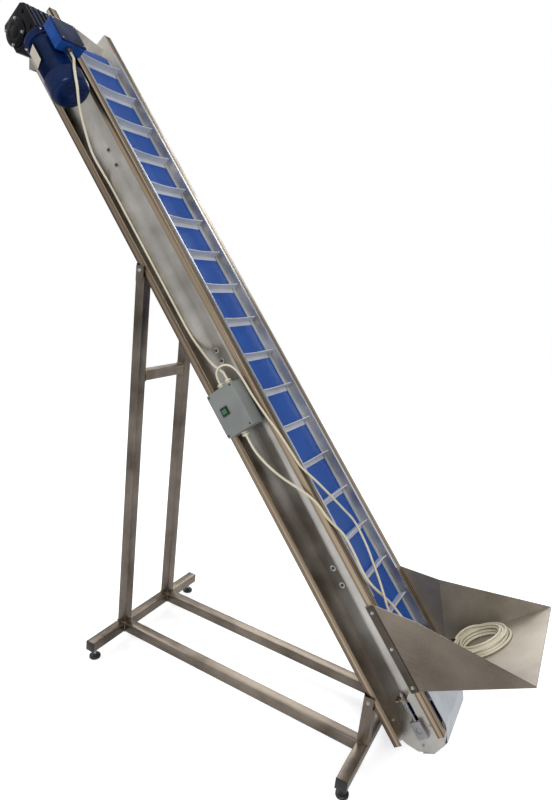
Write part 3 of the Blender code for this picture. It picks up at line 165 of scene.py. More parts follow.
def mouldedPlastic(name, base, worn, roughness, grainPerMetre, bump, coat=0.0, subsurface=0.0):
    # injection-moulded or cast polymer: a fine spark-eroded grain and slow colour drift from handling
    material, tree, shader, where = newSurface(name)
    grain = addNode(tree, "ShaderNodeTexNoise", {"Scale": grainPerMetre, "Detail": 2.0}, {"Vector": where})
    drift = addNode(tree, "ShaderNodeTexNoise", {"Scale": 9.0, "Detail": 5.0},
                    {"Vector": where}).outputs["Fac"]
    patterned(tree, shader, (drift, 0.35, 0.7), (base, worn),
              (drift, 0.3, 0.7, roughness * 0.85, roughness * 1.15), (grain.outputs["Fac"], bump, 0.0003))
    for socket, value in (("IOR", 1.5), ("Coat Weight", coat), ("Coat Roughness", 0.12),
                          ("Subsurface Weight", subsurface), ("Subsurface Scale", 0.002)):
        shader.inputs[socket].default_value = value
    return material


def enamel(name, base, deep, roughness):
    # two-pack gloss enamel sprayed over cast iron: the casting's slight waves and the paint's orange peel
    # show in its gloss
    material, tree, shader, where = newSurface(name)
    peel = addNode(tree, "ShaderNodeTexNoise", {"Scale": 260.0, "Detail": 2.0},
                   {"Vector": where}).outputs["Fac"]
    casting = addNode(tree, "ShaderNodeTexNoise", {"Scale": 28.0, "Detail": 3.0},
                      {"Vector": where}).outputs["Fac"]
    height = addNode(tree, "ShaderNodeMath", {"operation": "MULTIPLY_ADD", 1: 0.3}, {0: peel, 2: casting})
    patterned(tree, shader, (casting, 0.35, 0.65), (base, deep),
              (casting, 0.3, 0.7, roughness * 0.8, roughness * 1.3), (height.outputs[0], 0.22, 0.0010))
    for socket, value in (("Specular IOR Level", 0.12), ("Coat Weight", 0.06), ("Coat Roughness", 0.06)):
        shader.inputs[socket].default_value = value
    return material


def beltFace():
    # calendered blue polyurethane cover on a polyester fabric: satin, with the fabric's 1 mm weave just
    # telegraphing through, and long faint scuffs where it runs under the guide strips
    material, tree, shader, where = newSurface("bluePolyurethaneBelt")
    laid = addNode(tree, "ShaderNodeMapping", {"vector_type": "TEXTURE", "Rotation": slopeAngle},
                   {"Vector": where}).outputs["Vector"]
    weave = addNode(tree, "ShaderNodeTexWave", {"Scale": 320.0, "Distortion": 0.6, "Detail": 1.0},
                    {"Vector": laid})
    run = addNode(tree, "ShaderNodeMapping", {"Scale": (0.05, 1, 1)}, {"Vector": laid})
    scuff = addNode(tree, "ShaderNodeTexNoise", {"Scale": 60.0, "Detail": 4.0},
                    {"Vector": run.outputs["Vector"]}).outputs["Fac"]
    patterned(tree, shader, (scuff, 0.3, 0.75), ("#0c4293", "#1556ae"), (scuff, 0.3, 0.7, 0.36, 0.5),
              (weave.outputs["Fac"], 0.08, 0.0003))
    shader.inputs["Specular IOR Level"].default_value = 0.35
    return material


def weldMetal():
    # stainless filler, not pickled: straw, bronze and blue heat tint in bands a few millimetres wide
    material, tree, shader, where = newSurface("heatTintedWeld")
    heat = addNode(tree, "ShaderNodeTexNoise", {"Scale": 90.0, "Detail": 3.0},
                   {"Vector": where}).outputs["Fac"]
    ramp = addNode(tree, "ShaderNodeValToRGB", links={"Fac": heat})
    stops = (("#a39a88", 0.30), ("#b29a6c", 0.46), ("#8a7150", 0.56), ("#6c7084", 0.68))
    for element, (colour, position) in zip(ramp.color_ramp.elements, (stops[0], stops[-1])):
        element.position = position
        element.color = srgb(colour)
    for colour, position in stops[1:-1]:
        ramp.color_ramp.elements.new(position).color = srgb(colour)
    tree.links.new(ramp.outputs["Color"], shader.inputs["Base Color"])
    rough = addNode(tree, "ShaderNodeMapRange",
                    {"From Min": 0.3, "From Max": 0.7, "To Min": 0.3, "To Max": 0.5},
                    {"Value": heat})
    tree.links.new(rough.outputs["Result"], shader.inputs["Roughness"])
    shader.inputs["Metallic"].default_value = 1.0
    return material


surfaces = {
    # square tube, ground along its length: dull, with long soft highlights; its brown-grey colour is painted
    # reflection of a warm, dim room
    "tubeX": brushedStainless("drawnTubeAlongBeam", (0, 0, 0), "#5c544c", "#968c80"),
    "tubeY": brushedStainless("drawnTubeAcross", (0, 0, math.radians(90)), "#5c544c", "#968c80"),
    "tubeZ": brushedStainless("drawnTubeUpright", (0, math.radians(90), 0), "#564e47", "#8a8177"),
    # folded sheet: a satin web, lips streaked tan and dark as painted reflection and highlight, a pale hem
    # strip that is a painted highlight, and a duller cloudy hopper with painted shade on its outside
    "plate": brushedStainless("foldedSidePlate", slopeAngle, "#aaa7a2", "#dad8d4", 0.04),
    # the lip's tan and dark stripes along its length are painted reflection and highlight lines, not the
    # steel's own colour
    "lip": brushedStainless("plateLip", slopeAngle, "#4a4139", "#b3a18a", 0.02, streakPerMetre=130.0),
    # a pale strip whose colour is a painted highlight along the plate's top fold
    "hem": brushedStainless("polishedHem", slopeAngle, "#b5bac0", "#e3e7ec", -0.06, streakPerMetre=60.0),
    "sheet": brushedStainless("hopperSheet", (0, 0, 0), "#8a8279", "#cdc6bc", 0.20, 3.0),
    # a darker copy of the hopper sheet for its outer and downward faces: painted shade
    "sheetOutsidePaintedShade": brushedStainless("hopperOutside", (0, 0, 0), "#625a51", "#9b9084", 0.05, 3.0),
    "innerSheet": brushedStainless("bedSheet", slopeAngle, "#918d87", "#c4c1bb", 0.05),
    "paleSheet": brushedStainless("tailCoverSheet", slopeAngle, "#a9b0b8", "#dde2e8", 0.08),
    # bars, shafts and fasteners: darker rolled bar, bright turned steel, cool zinc, warm bronze
    "flatBar": brushedStainless("darkFlatBar", slopeAngle, "#3c3733", "#6a625a", 0.05),
    "turnedSteel": brushedStainless("turnedSteel", (0, 0, math.radians(90)), "#87858a", "#c2c0bd", -0.06),
    "zincSteel": brushedStainless("zincPlatedFastener", (0, math.radians(90), 0), "#8f9093", "#cfd0cf",
                                  -0.04, 60.0),
    "bronze": brushedStainless("castBronze", (0, 0, math.radians(90)), "#8a5f2b", "#c4924e"),
    # the weld's straw and blue tints, the satin blue belt and its pale cast cleats and guides
    "weld": weldMetal(),
    "belt": beltFace(),
    "cleat": mouldedPlastic("weldedPolyurethaneCleat", "#cbced6", "#b8bcc6", 0.44, 900, 0.10,
                            subsurface=0.08),
    "guide": mouldedPlastic("slidingPolyethylene", "#acafb5", "#8f9299", 0.42, 700, 0.08),
    # the drive's enamels: deep navy, a brighter blue box, and black that shows only by its gloss
    "navy": enamel("navyMotorEnamel", "#0b2350", "#07193b", 0.2),
    "lidBlue": enamel("terminalBoxEnamel", "#1a4a96", "#123a7c", 0.24),
    "black": enamel("blackGearboxEnamel", "#07080e", "#040509", 0.24),
    # mouldings: matt black rubber and nylon, a fine-grained grey box, a glossy green lens, cream PVC jackets
    # and a bare tin plate
    "rubber": mouldedPlastic("blackRubber", "#161616", "#232221", 0.62, 500, 0.12),
    "blackPlastic": mouldedPlastic("blackPolyamide", "#121314", "#1e1f20", 0.4, 900, 0.08),
    "boxGrey": mouldedPlastic("greyPolycarbonateBox", "#7f8381", "#737775", 0.42, 1400, 0.12),
    "green": mouldedPlastic("greenRockerLens", "#0b6b3c", "#08522e", 0.26, 500, 0.03, 0.5),
    "lead": mouldedPlastic("creamPvcJacket", "#d9d2bd", "#c9c0a8", 0.42, 600, 0.06),
    "blankPlate": mouldedPlastic("blankTinPlate", "#c9c2b2", "#b5ad9c", 0.38, 500, 0.05),
}
print("surfaces made:", len(surfaces))


# ---- mesh helpers
def finished(name, built, matrix, surface, body, smoothDeg=35, replaced=(), flip=True):
    # places a bmesh in the frame and turns it into a piece that rides on its body
    if matrix is not None:
        bmesh.ops.transform(built, matrix=matrix, verts=built.verts)
    if flip:
        bmesh.ops.recalc_face_normals(built, faces=built.faces)
    mesh = bpy.data.meshes.new(name)
    built.to_mesh(mesh)
    built.free()
    return asPiece(name, mesh, surface, body, smoothDeg, replaced)


def asPiece(name, mesh, surface, body, smoothDeg=35, replaced=()):
    piece = bpy.data.objects.new(name, mesh)
    bpy.context.scene.collection.objects.link(piece)
    mesh.materials.clear()
    mesh.materials.append(surfaces[surface])
    mesh.shade_smooth()
    mesh.set_sharp_from_angle(angle=math.radians(smoothDeg))
    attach(piece, body)
    if replaced:
        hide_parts(*replaced)
    return piece


def mergedCopy(node):
    # a CAD node's faces as one clean bmesh, with its flat faces whole again
    built = bmesh.new()
    built.from_mesh(cadNodes[node].data)
    bmesh.ops.remove_doubles(built, verts=built.verts, dist=1e-5)
    bmesh.ops.dissolve_limit(built, angle_limit=math.radians(0.4), verts=built.verts, edges=built.edges)
    return built


def easedEdges(built, width, segments, wanted, angles=(50, 130)):
    # rounds the outer edges that the test picks
    chosen = []
    for edge in built.edges:
        if len(edge.link_faces) != 2 or not edge.is_convex:
            continue
        if angles[0] <= math.degrees(edge.calc_face_angle()) <= angles[1] and wanted(edge):
            chosen.append(edge)
    if chosen:
        bmesh.ops.bevel(built, geom=chosen, offset=width, segments=segments, affect="EDGES", profile=0.5,
                        clamp_overlap=True)


def bodyOf(node):
    return next(body for body, members in frame["record"]["behaviour"]["bodies"].items() if node in members)


def dressed(node, surface, width=0.0, segments=2, wanted=lambda edge: True, smoothDeg=35, cut=0.0):
    # a copy of a CAD node with its edges eased and its round faces smooth; a cut leaves room for its end caps
    built = mergedCopy(node)
    low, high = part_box(node)
    for vertex in built.verts if cut else ():
        if min(vertex.co.y - low.y, high.y - vertex.co.y) < 1e-5:
            vertex.co.y -= math.copysign(cut, vertex.co.y)
    if width:
        easedEdges(built, width, segments, wanted)
    return finished(f"{node}_dressed", built, None, surface, bodyOf(node), smoothDeg, (node,),
                    flip=False)


def secondSurface(piece, surface, wanted):
    # gives the faces that the test picks a surface of their own
    piece.data.materials.append(surfaces[surface])
    for face in piece.data.polygons:
        if wanted(face):
            face.material_index = 1


def turnedShape(profile, segments=32):
    # a closed (radius, height) profile turned about Z
    built = bmesh.new()
    rings = []
    for radius, height in profile:
        count = 1 if radius == 0 else segments
        turns = [math.tau * k / segments for k in range(count)]
        rings.append([built.verts.new((radius * math.cos(a), radius * math.sin(a), height)) for a in turns])
    for ring, after in zip(rings, rings[1:] + rings[:1]):
        for k in range(segments):
            j = k + 1
            corners = [ring[k % len(ring)], ring[j % len(ring)], after[j % len(after)], after[k % len(after)]]
            corners = list(dict.fromkeys(corners))
            if len(corners) > 2:
                built.faces.new(corners)
    return built


def boxShape(low, high, width=0.0, segments=2):
    built = bmesh.new()
    size = [high[i] - low[i] for i in range(3)]
    middle = [(high[i] + low[i]) / 2 for i in range(3)]
    bmesh.ops.create_cube(built, size=1.0, matrix=Matrix.Translation(middle) @ Matrix.Diagonal((*size, 1.0)))
    if width:
        bmesh.ops.bevel(built, geom=list(built.edges), offset=width, segments=segments, affect="EDGES",
                        profile=0.5, clamp_overlap=True)
    return built


def merged(*shapes):
    # several bmeshes as one
    whole = bmesh.new()
    for shape in shapes:
        holder = bpy.data.meshes.new("holder")
        shape.to_mesh(holder)
        shape.free()
        whole.from_mesh(holder)
        bpy.data.meshes.remove(holder)
    return whole


def slopePoint(s, y, n, facing, across=(1, 0, 0)):
    turn = slopeTurn.to_3x3()
    return (tuple(onSlope(s, y, n)), tuple(turn @ Vector(facing)), tuple(turn @ Vector(across)))


# ---- Geometry Nodes that repeat a shape
def repeatTree(kind):
    # "line" sets a shape out in a straight row; "spots" sets it on a mesh's points, turned by the "facing"
    # and "across" directions that they carry
    tree = bpy.data.node_groups.new(f"{kind}Repeat", "GeometryNodeTree")
    sockets = [("Geometry", "Geometry"), ("Shape", "Object"), ("Surface", "Material")]
    if kind == "line":
        sockets += [("Count", "Int"), ("Start", "Vector"), ("Step", "Vector")]
    for label, holds in sockets:
        tree.interface.new_socket(label, in_out="INPUT", socket_type=f"NodeSocket{holds}")
    tree.interface.new_socket("Geometry", in_out="OUTPUT", socket_type="NodeSocketGeometry")
    given = addNode(tree, "NodeGroupInput").outputs
    shape = addNode(tree, "GeometryNodeObjectInfo", links={"Object": given["Shape"]}).outputs["Geometry"]
    if kind == "line":
        points = addNode(tree, "GeometryNodeMeshLine", {"mode": "OFFSET"},
                         {"Count": given["Count"], "Start Location": given["Start"], "Offset": given["Step"]})
        placed = addNode(tree, "GeometryNodeInstanceOnPoints",
                         links={"Points": points.outputs["Mesh"], "Instance": shape})
    else:
        facing = addNode(tree, "GeometryNodeInputNamedAttribute",
                         {"data_type": "FLOAT_VECTOR", "Name": "facing"})
        across = addNode(tree, "GeometryNodeInputNamedAttribute",
                         {"data_type": "FLOAT_VECTOR", "Name": "across"})
        upright = addNode(tree, "FunctionNodeAlignRotationToVector", {"axis": "Z"},
                          {"Vector": facing.outputs["Attribute"]})
        turned = addNode(tree, "FunctionNodeAlignRotationToVector", {"axis": "X", "pivot_axis": "Z"},
                         {"Rotation": upright.outputs["Rotation"], "Vector": across.outputs["Attribute"]})
        placed = addNode(tree, "GeometryNodeInstanceOnPoints",
                         links={"Points": given["Geometry"], "Instance": shape,
                                "Rotation": turned.outputs["Rotation"]})
    real = addNode(tree, "GeometryNodeRealizeInstances", links={"Geometry": placed.outputs["Instances"]})
    coated = addNode(tree, "GeometryNodeSetMaterial", links={"Geometry": real.outputs["Geometry"],
                                                             "Material": given["Surface"]})
    addNode(tree, "NodeGroupOutput", links={"Geometry": coated.outputs["Geometry"]})
    return tree


repeatTrees = {"line": repeatTree("line"), "spots": repeatTree("spots")}


def setOut(name, shape, surface, body, points=(), row=None, smoothDeg=35, replaced=()):
    # makes the copies on points or in a row, keeps them as one plain mesh, and drops the pattern shape
    repeat = repeatTrees["line" if row else "spots"]
    patternMesh = bpy.data.meshes.new(f"{name}Pattern")
    bmesh.ops.recalc_face_normals(shape, faces=shape.faces)
    shape.to_mesh(patternMesh)
    shape.free()
    patternMesh.shade_smooth()
    pattern = bpy.data.objects.new(f"{name}Pattern", patternMesh)
    holderMesh = bpy.data.meshes.new(f"{name}Points")
    holderMesh.from_pydata([tuple(place) for place, facing, across in points] or [(0, 0, 0)], [], [])
    for label, index in (("facing", 1), ("across", 2)):
        attribute = holderMesh.attributes.new(label, "FLOAT_VECTOR", "POINT")
        for k, point in enumerate(points):
            attribute.data[k].vector = point[index]
    holder = bpy.data.objects.new(f"{name}Points", holderMesh)
    for helper in (pattern, holder):
        bpy.context.scene.collection.objects.link(helper)
    modifier = holder.modifiers.new("repeat", "NODES")
    modifier.node_group = repeat
    values = {"Shape": pattern, "Surface": surfaces[surface]}
    if row:
        values.update({"Count": row[0], "Start": row[1], "Step": row[2]})
    for item in repeat.interface.items_tree:
        if item.item_type == "SOCKET" and item.in_out == "INPUT" and item.name in values:
            modifier[item.identifier] = values[item.name]
    depsgraph = bpy.context.evaluated_depsgraph_get()
    made = bpy.data.meshes.new_from_object(holder.evaluated_get(depsgraph))
    made.name = name
    for helper in (pattern, holder):
        bpy.data.objects.remove(helper)
    for label in ("facing", "across"):
        if label in made.attributes:
            made.attributes.remove(made.attributes[label])
    return asPiece(name, made, surface, body, smoothDeg, replaced)


# ---- the camera and the light
# an eye at standing height, 2 m from the belt's middle; focal length and shift are shares of the longer side
camera = {"place": (1.0465, -1.8060, 1.6537), "yaw": 2.0439, "pitch": -0.2382, "roll": 0.1171,
          "focalShare": 0.7307, "shift": (-0.01284, -0.00445), "sensorMm": 36, "clipStart": 0.05}


def addCamera():
    yaw, pitch, roll = camera["yaw"], camera["pitch"], camera["roll"]
    ahead = Vector((math.cos(pitch) * math.cos(yaw), math.cos(pitch) * math.sin(yaw), math.sin(pitch)))
    right = Vector((math.sin(yaw), -math.cos(yaw), 0))
    above = right.cross(ahead)
    tiltedRight = math.cos(roll) * right + math.sin(roll) * above
    tiltedUp = -math.sin(roll) * right + math.cos(roll) * above
    lens = bpy.data.cameras.new("viewCamera")
    lens.sensor_fit = "AUTO"
    lens.sensor_width = camera["sensorMm"]
    lens.lens = camera["focalShare"] * lens.sensor_width
    lens.shift_x, lens.shift_y = camera["shift"]
    lens.clip_start = camera["clipStart"]
    holder = bpy.data.objects.new("viewCamera", lens)
    turn = Matrix((tiltedRight, tiltedUp, -ahead)).transposed().to_4x4()
    holder.matrix_world = Matrix.Translation(camera["place"]) @ turn
    bpy.context.scene.collection.objects.link(holder)
    bpy.context.scene.camera = holder


studio = {"worldLight": 0.55, "floorHex": ("#f7f7f7", "#fbfbfb"), "floorSize": 40.0, "floorDrop": 0.0005,
          "floorGlow": 5.2, "glowShare": 0.1}
# what a reflection sees, by how far up it looks, and across the conveyor for the turn to the far side
room = {"viewerSide": (-0.25, 0.6, 0.4, 0.95), "backdrop": (0.16, 0.42, 1.0, 0.3),
        "overhead": (0.58, 0.82, 0.0, 0.95), "turnToFar": (-0.1, 0.35, 0.0, 1.0), "tint": (1, 0.985, 0.96, 1)}
pureWhite = (1, 1, 1, 1)
lamps = (
    # name, place, aim, size (m), watts
    ("keySoftbox", (1.6, -3.4, 3.6), (0.0, 0.0, 1.1), 1.8, 85),
    ("fillSoftbox", (-3.0, 1.4, 3.4), (-0.4, 0.0, 1.2), 1.6, 45),
    ("backSoftbox", (-1.2, 3.4, 3.2), (0.0, 0.0, 1.2), 1.8, 45),
)


def addWorld():
    world = bpy.data.worlds.new("paleStudio")
    bpy.context.scene.world = world
    world.use_nodes = True
    tree = world.node_tree
    tree.nodes.clear()
    path = addNode(tree, "ShaderNodeLightPath").outputs
    seen = addNode(tree, "ShaderNodeMath", {"operation": "MAXIMUM"},
                   {0: path["Is Camera Ray"], 1: path["Is Transmission Ray"]}).outputs[0]
    # glossy rays see a room: softer light above on the viewer's side, a white backdrop low on the far side
    # and a dim band over it, which shapes the metal
    direction = addNode(tree, "ShaderNodeTexCoord").outputs["Generated"]
    ways = addNode(tree, "ShaderNodeSeparateXYZ", links={"Vector": direction}).outputs
    bright = {}
    for part, axis in (("viewerSide", "Z"), ("backdrop", "Z"), ("overhead", "Z"), ("turnToFar", "Y")):
        spans = dict(zip(("From Min", "From Max", "To Min", "To Max"), room[part]))
        bright[part] = addNode(tree, "ShaderNodeMapRange", spans, {"Value": ways[axis]}).outputs["Result"]
    behind = addNode(tree, "ShaderNodeMath", {"operation": "MAXIMUM"},
                     {0: bright["backdrop"], 1: bright["overhead"]}).outputs[0]
    roomLight = addNode(tree, "ShaderNodeMix",
                        links={0: bright["turnToFar"], 2: bright["viewerSide"], 3: behind}).outputs[0]
    glossy = addNode(tree, "ShaderNodeBackground", {"Color": room["tint"]}, {"Strength": roomLight})
    plain = addNode(tree, "ShaderNodeBackground", {"Color": pureWhite, "Strength": studio["worldLight"]})
    shown = addNode(tree, "ShaderNodeBackground", {"Color": pureWhite, "Strength": 1.0})
    lit = addNode(tree, "ShaderNodeMixShader",
                  links={0: path["Is Glossy Ray"], 1: plain.outputs[0], 2: glossy.outputs[0]})
    final = addNode(tree, "ShaderNodeMixShader", links={0: seen, 1: lit.outputs[0], 2: shown.outputs[0]})
    addNode(tree, "ShaderNodeOutputWorld", links={"Surface": final.outputs[0]})


def addLamps():
    for name, place, aim, size, watts in lamps:
        light = bpy.data.lights.new(name, "AREA")
        light.shape = "SQUARE"
        light.size = size
        light.energy = watts
        lamp = bpy.data.objects.new(name, light)
        aimed = (Vector(aim) - Vector(place)).to_track_quat("-Z", "Y").to_matrix().to_4x4()
        lamp.matrix_world = Matrix.Translation(place) @ aimed
        bpy.context.scene.collection.objects.link(lamp)


def addFloor():
    built = bmesh.new()
    bmesh.ops.create_grid(built, x_segments=1, y_segments=1, size=studio["floorSize"] / 2)
    mesh = bpy.data.meshes.new("studioFloor")
    built.to_mesh(mesh)
    built.free()
    floor = bpy.data.objects.new("studioFloor", mesh)
    floor.location.z = cadLow.z - studio["floorDrop"]
    bpy.context.scene.collection.objects.link(floor)
    material, tree, shader, where = newSurface("paleFloor")
    grain = addNode(tree, "ShaderNodeTexNoise", {"Scale": 3.0}, {"Vector": where}).outputs["Fac"]
    patterned(tree, shader, (grain, 0.3, 0.7), studio["floorHex"])
    shader.inputs["Roughness"].default_value = 0.9
    # the floor is seen as bright as the backdrop, with the shadow that falls on it kept
    glow = addNode(tree, "ShaderNodeEmission", {"Color": pureWhite, "Strength": studio["floorGlow"]})
    rays = addNode(tree, "ShaderNodeLightPath").outputs
    share = addNode(tree, "ShaderNodeMath", {"operation": "MULTIPLY", 1: studio["glowShare"]},
                    {0: rays["Is Camera Ray"]}).outputs[0]
    mixed = addNode(tree, "ShaderNodeMixShader", links={0: share, 1: shader.outputs[0], 2: glow.outputs[0]})
    output = next(node for node in tree.nodes if node.type == "OUTPUT_MATERIAL")
    tree.links.new(mixed.outputs[0], output.inputs["Surface"])
    mesh.materials.append(material)


addCamera()
addWorld()
addLamps()
addFloor()
bpy.context.scene.view_settings.view_transform = "Standard"
print("camera and light set")

# ---- free leads and their coils
hopperFloor = {"floorS": 1.905, "floorN": 0.050, "rise": 0.2234, "run": 0.3012, "sheet": 0.002, "gap": 0.0006}
# the swing says how far short of the plug in degrees, how far out and how many layers up each point lies
coilPlace = {"run": 0.1262, "y": 0.074, "slack": 1.4, "layer": 1.06,
             "swing": ((-52, 0.80, 2.45), (-34, 0.84, 2.60), (-19, 0.895, 2.35), (-8, 0.945, 1.9))}
glandMouth = {"length": 0.019, "gap": 0.0006}
# layers rise by the nesting share; a turn eases into the next lane over its last part; hand-wound turns share
# slow bulges, each (size, waves, start, drift from one turn to the next)
winding = {"perTurn": 40, "nesting": 0.74, "easeFrom": 0.75, "short": 75, "mostTurns": 8,
           "bulges": ((0.0024, 2, 0.5, 0.3), (0.0013, 3, 1.9, -0.4))}
# a point for each share of the diameter; a bridge's pull and bow; passes that ease kinks between held ends
laying = {"spacing": 0.9, "perSpan": 20, "pull": 0.4, "bow": 1.12, "passes": 4, "heldStart": 3, "heldEnd": 2}
mainsLead = {
    "diameter": 0.009, "length": 5.0, "straight": 0.0235, "gland": (0.9103, -0.183, -0.063), "way": 1,
    "startDeg": 248, "endDeg": 214, "radius": 0.084, "width": 0.034, "lift": 0.0, "plugLift": 0.0100,
    "far": "plug",
    "route": ((0.99, -0.176, -0.066), (1.05, -0.165, -0.056), (1.11, -0.161, -0.03),
              (1.165, -0.161, 0.006), (1.213, -0.16, 0.033), (1.25, -0.156, 0.042),
              (1.295, -0.148, 0.0422), (1.34, -0.126, 0.044), (1.375, -0.112, 0.046),
              (1.44, -0.112, 0.046), (1.505, -0.12, 0.046), (1.56, -0.108, 0.046), (1.648, -0.063, 0.05),
              (1.73, -0.05, 0.058), (1.8, -0.04, 0.068)),
}
secondLead = {
    "diameter": 0.008, "length": 3.2, "straight": 0.008, "gland": (0.7467, -0.183, -0.059), "way": -1,
    "startDeg": 280, "endDeg": 168, "radius": 0.082, "width": 0.024, "lift": 0.0183, "plugLift": 0.0243,
    "far": "connector",
    "route": ((0.692, -0.19, -0.048), (0.6795, -0.19, -0.021), (0.691, -0.18, 0.006),
              (0.72, -0.169, 0.016), (0.76, -0.164, 0.0185), (0.82, -0.162, 0.02), (0.9, -0.159, 0.028),
              (0.97, -0.156, 0.038), (1.05, -0.15, 0.042), (1.105, -0.142, 0.0422),
              (1.165, -0.108, 0.045), (1.23, -0.073, 0.046), (1.31, -0.031, 0.046),
              (1.365, -0.007, 0.046), (1.45, -0.014, 0.046), (1.51, -0.036, 0.048),
              (1.555, -0.066, 0.056), (1.6, -0.093, 0.06), (1.66, -0.112, 0.056), (1.74, -0.112, 0.056),
              (1.82, -0.09, 0.065)),
}


def coilFrame(lift):
    # on the hopper's sloping floor: X up the sheet, Z square to it
    low = onSlope(hopperFloor["floorS"], 0, hopperFloor["floorN"])
    tilt = math.atan2(hopperFloor["rise"], hopperFloor["run"])
    place = Vector((low.x + coilPlace["run"], coilPlace["y"], low.z + coilPlace["run"] * math.tan(tilt)))
    normal = Vector((-math.sin(tilt), 0, math.cos(tilt)))
    return Matrix.Translation(place + normal * (hopperFloor["sheet"] / 2 + hopperFloor["gap"] + lift)) \
        @ Matrix.Rotation(-tilt, 4, "Y")


def smoothLine(points, spacing):
    # a curve through the points, walked in even steps
    padded = [2 * points[0] - points[1]] + points + [2 * points[-1] - points[-2]]
    dense = []
    for i in range(1, len(padded) - 2):
        before, start, end, after = padded[i - 1:i + 3]
        for k in range(laying["perSpan"]):
            t = k / laying["perSpan"]
            dense.append(0.5 * (2 * start + (end - before) * t
                                + (2 * before - 5 * start + 4 * end - after) * t ** 2
                                + (3 * start - before - 3 * end + after) * t ** 3))
    dense.append(points[-1])
    walked = [0.0]
    for a, b in zip(dense, dense[1:]):
        walked.append(walked[-1] + (b - a).length)
    count = max(2, round(walked[-1] / spacing))
    found, index = [], 0
    for k in range(count + 1):
        goal = walked[-1] * k / count
        while index < len(dense) - 2 and walked[index + 1] < goal:
            index += 1
        share = (goal - walked[index]) / max(walked[index + 1] - walked[index], 1e-9)
        found.append(dense[index].lerp(dense[index + 1], share))
    return found


def lineLength(points):
    return sum((b - a).length for a, b in zip(points, points[1:]))


def turnsOf(lead, turns):
    # turns lying beside each other, then on each other, out to the coil's edge and back
    step = lead["diameter"] * coilPlace["layer"]
    across = max(2, int(lead["width"] / step + 0.45))
    lanes = []
    outer = lead["radius"] + (across - 1) / 2 * step
    apart = step * coilPlace["slack"]
    for k in range(across):
        lanes.append((outer - k * apart, lead["diameter"] / 2))
    for k in range(across - 1):
        lanes.append((outer - (across - 1.5 - k) * apart, lead["diameter"] / 2 + step * winding["nesting"]))
    for k in range(across - 2):
        lanes.append((outer - (k + 1) * apart, lead["diameter"] / 2 + step * winding["nesting"] * 2))
    found = []
    for k in range(int(turns * winding["perTurn"]) + 1):
        turn = k / winding["perTurn"]
        lane = min(int(turn), len(lanes) - 1)
        after = min(lane + 1, len(lanes) - 1)
        share = turn - lane
        ease = max(0.0, share - winding["easeFrom"]) / (1 - winding["easeFrom"])
        ease = ease * ease * (3 - 2 * ease)
        radius = lanes[lane][0] * (1 - ease) + lanes[after][0] * ease
        height = lanes[lane][1] * (1 - ease) + lanes[after][1] * ease
        angle = math.radians(lead["startDeg"]) + math.tau * turn
        wide, narrow = (size * math.sin(waves * angle + start + drift * turn)
                        for size, waves, start, drift in winding["bulges"])
        radius += wide + narrow
        found.append(Vector((radius * math.cos(angle), radius * math.sin(angle), height)))
    return found


def bridged(start, startWay, end, endWay, spacing):
    # an even curve between two ends, leaving and arriving along their own ways
    span = (end - start).length
    first = start + startWay.normalized() * span * laying["pull"]
    second = end - endWay.normalized() * span * laying["pull"]
    count = max(3, round(span * laying["bow"] / spacing))
    return [start * (1 - t) ** 3 + first * 3 * t * (1 - t) ** 2 + second * 3 * t * t * (1 - t) + end * t ** 3
            for t in (k / count for k in range(1, count))]


def relaxed(points):
    # takes the small kinks out, with both ends held
    for _ in range(laying["passes"]):
        start, end = laying["heldStart"], len(points) - laying["heldEnd"]
        eased = [(points[k - 1] + 2 * points[k] + points[k + 1]) / 4 for k in range(start, end)]
        points = points[:start] + eased + points[end:]
    return points


def leadCurve(name, lead, node, coilNode, plugNode):
    gland = Vector(lead["gland"])
    out = Vector((lead["way"], 0, 0))
    mouth = gland + out * (glandMouth["length"] + glandMouth["gap"])
    free = [mouth, mouth + out * lead["straight"]] + [Vector(p) for p in lead["route"]]
    free = [slopeMatrix @ p for p in free]
    spacing = lead["diameter"] * laying["spacing"]
    laid = smoothLine(free, spacing)
    base = coilFrame(lead["lift"])
    # the end rises over the turns and swings outward to its plug
    edge = lead["radius"] + lead["width"] / 2
    crown = lead["diameter"] * coilPlace["layer"]
    endAngle = math.radians(lead["endDeg"])
    plugAt = Vector((edge, 0, lead["plugLift"] - lead["lift"]))
    tail = []
    for back, share, layers in coilPlace["swing"]:
        angle = endAngle + math.radians(back)
        out = edge * share
        tail.append(Vector((out * math.cos(angle), out * math.sin(angle), crown * layers - crown / 2)))
    tail.append(Vector((plugAt.x * math.cos(endAngle), plugAt.x * math.sin(endAngle), plugAt.z)))
    sweep = (lead["endDeg"] - winding["short"] - lead["startDeg"]) % 360 / 360
    best = None
    for whole in range(1, winding["mostTurns"] + 1):
        coil = [base @ p for p in turnsOf(lead, whole + sweep)]
        join = bridged(laid[-1], laid[-1] - laid[-2], coil[0], coil[1] - coil[0], spacing)
        path = relaxed(smoothLine(laid + join + coil + [base @ p for p in tail], spacing))
        miss = abs(lineLength(path) - lead["length"])
        if best is None or miss < best[0]:
            best = (miss, path, whole + sweep)
    path = best[1]
    curve = bpy.data.curves.new(name, "CURVE")
    curve.dimensions = "3D"
    curve.bevel_depth = lead["diameter"] / 2
    curve.bevel_resolution = 3
    curve.use_fill_caps = True
    line = curve.splines.new("POLY")
    line.points.add(len(path) - 1)
    for target, point in zip(line.points, path):
        target.co = (*point, 1.0)
    line.use_smooth = True
    curve.materials.append(surfaces["lead"])
    piece = bpy.data.objects.new(name, curve)
    bpy.context.scene.collection.objects.link(piece)
    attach(piece, "frame")
    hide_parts(node, coilNode)
    real = round(lineLength(path), 3)
    print(name, "length", real, "turns", round(best[2], 2))
    plug = dressed(plugNode, "rubber", smoothDeg=40)
    return piece


leadCurve("mainsLeadCoiled", mainsLead, "mains_lead", "mains_coil", "mains_plug")
leadCurve("secondLeadCoiled", secondLead, "second_lead", "second_coil", "second_plug")
print("leads laid")

# ---- stand
tubeCorner = {"radius": 0.0035, "segments": 3, "shortest": 0.06}
cap = {"lip": 0.0032, "size": 0.040, "inside": 0.0352, "depth": 0.012}


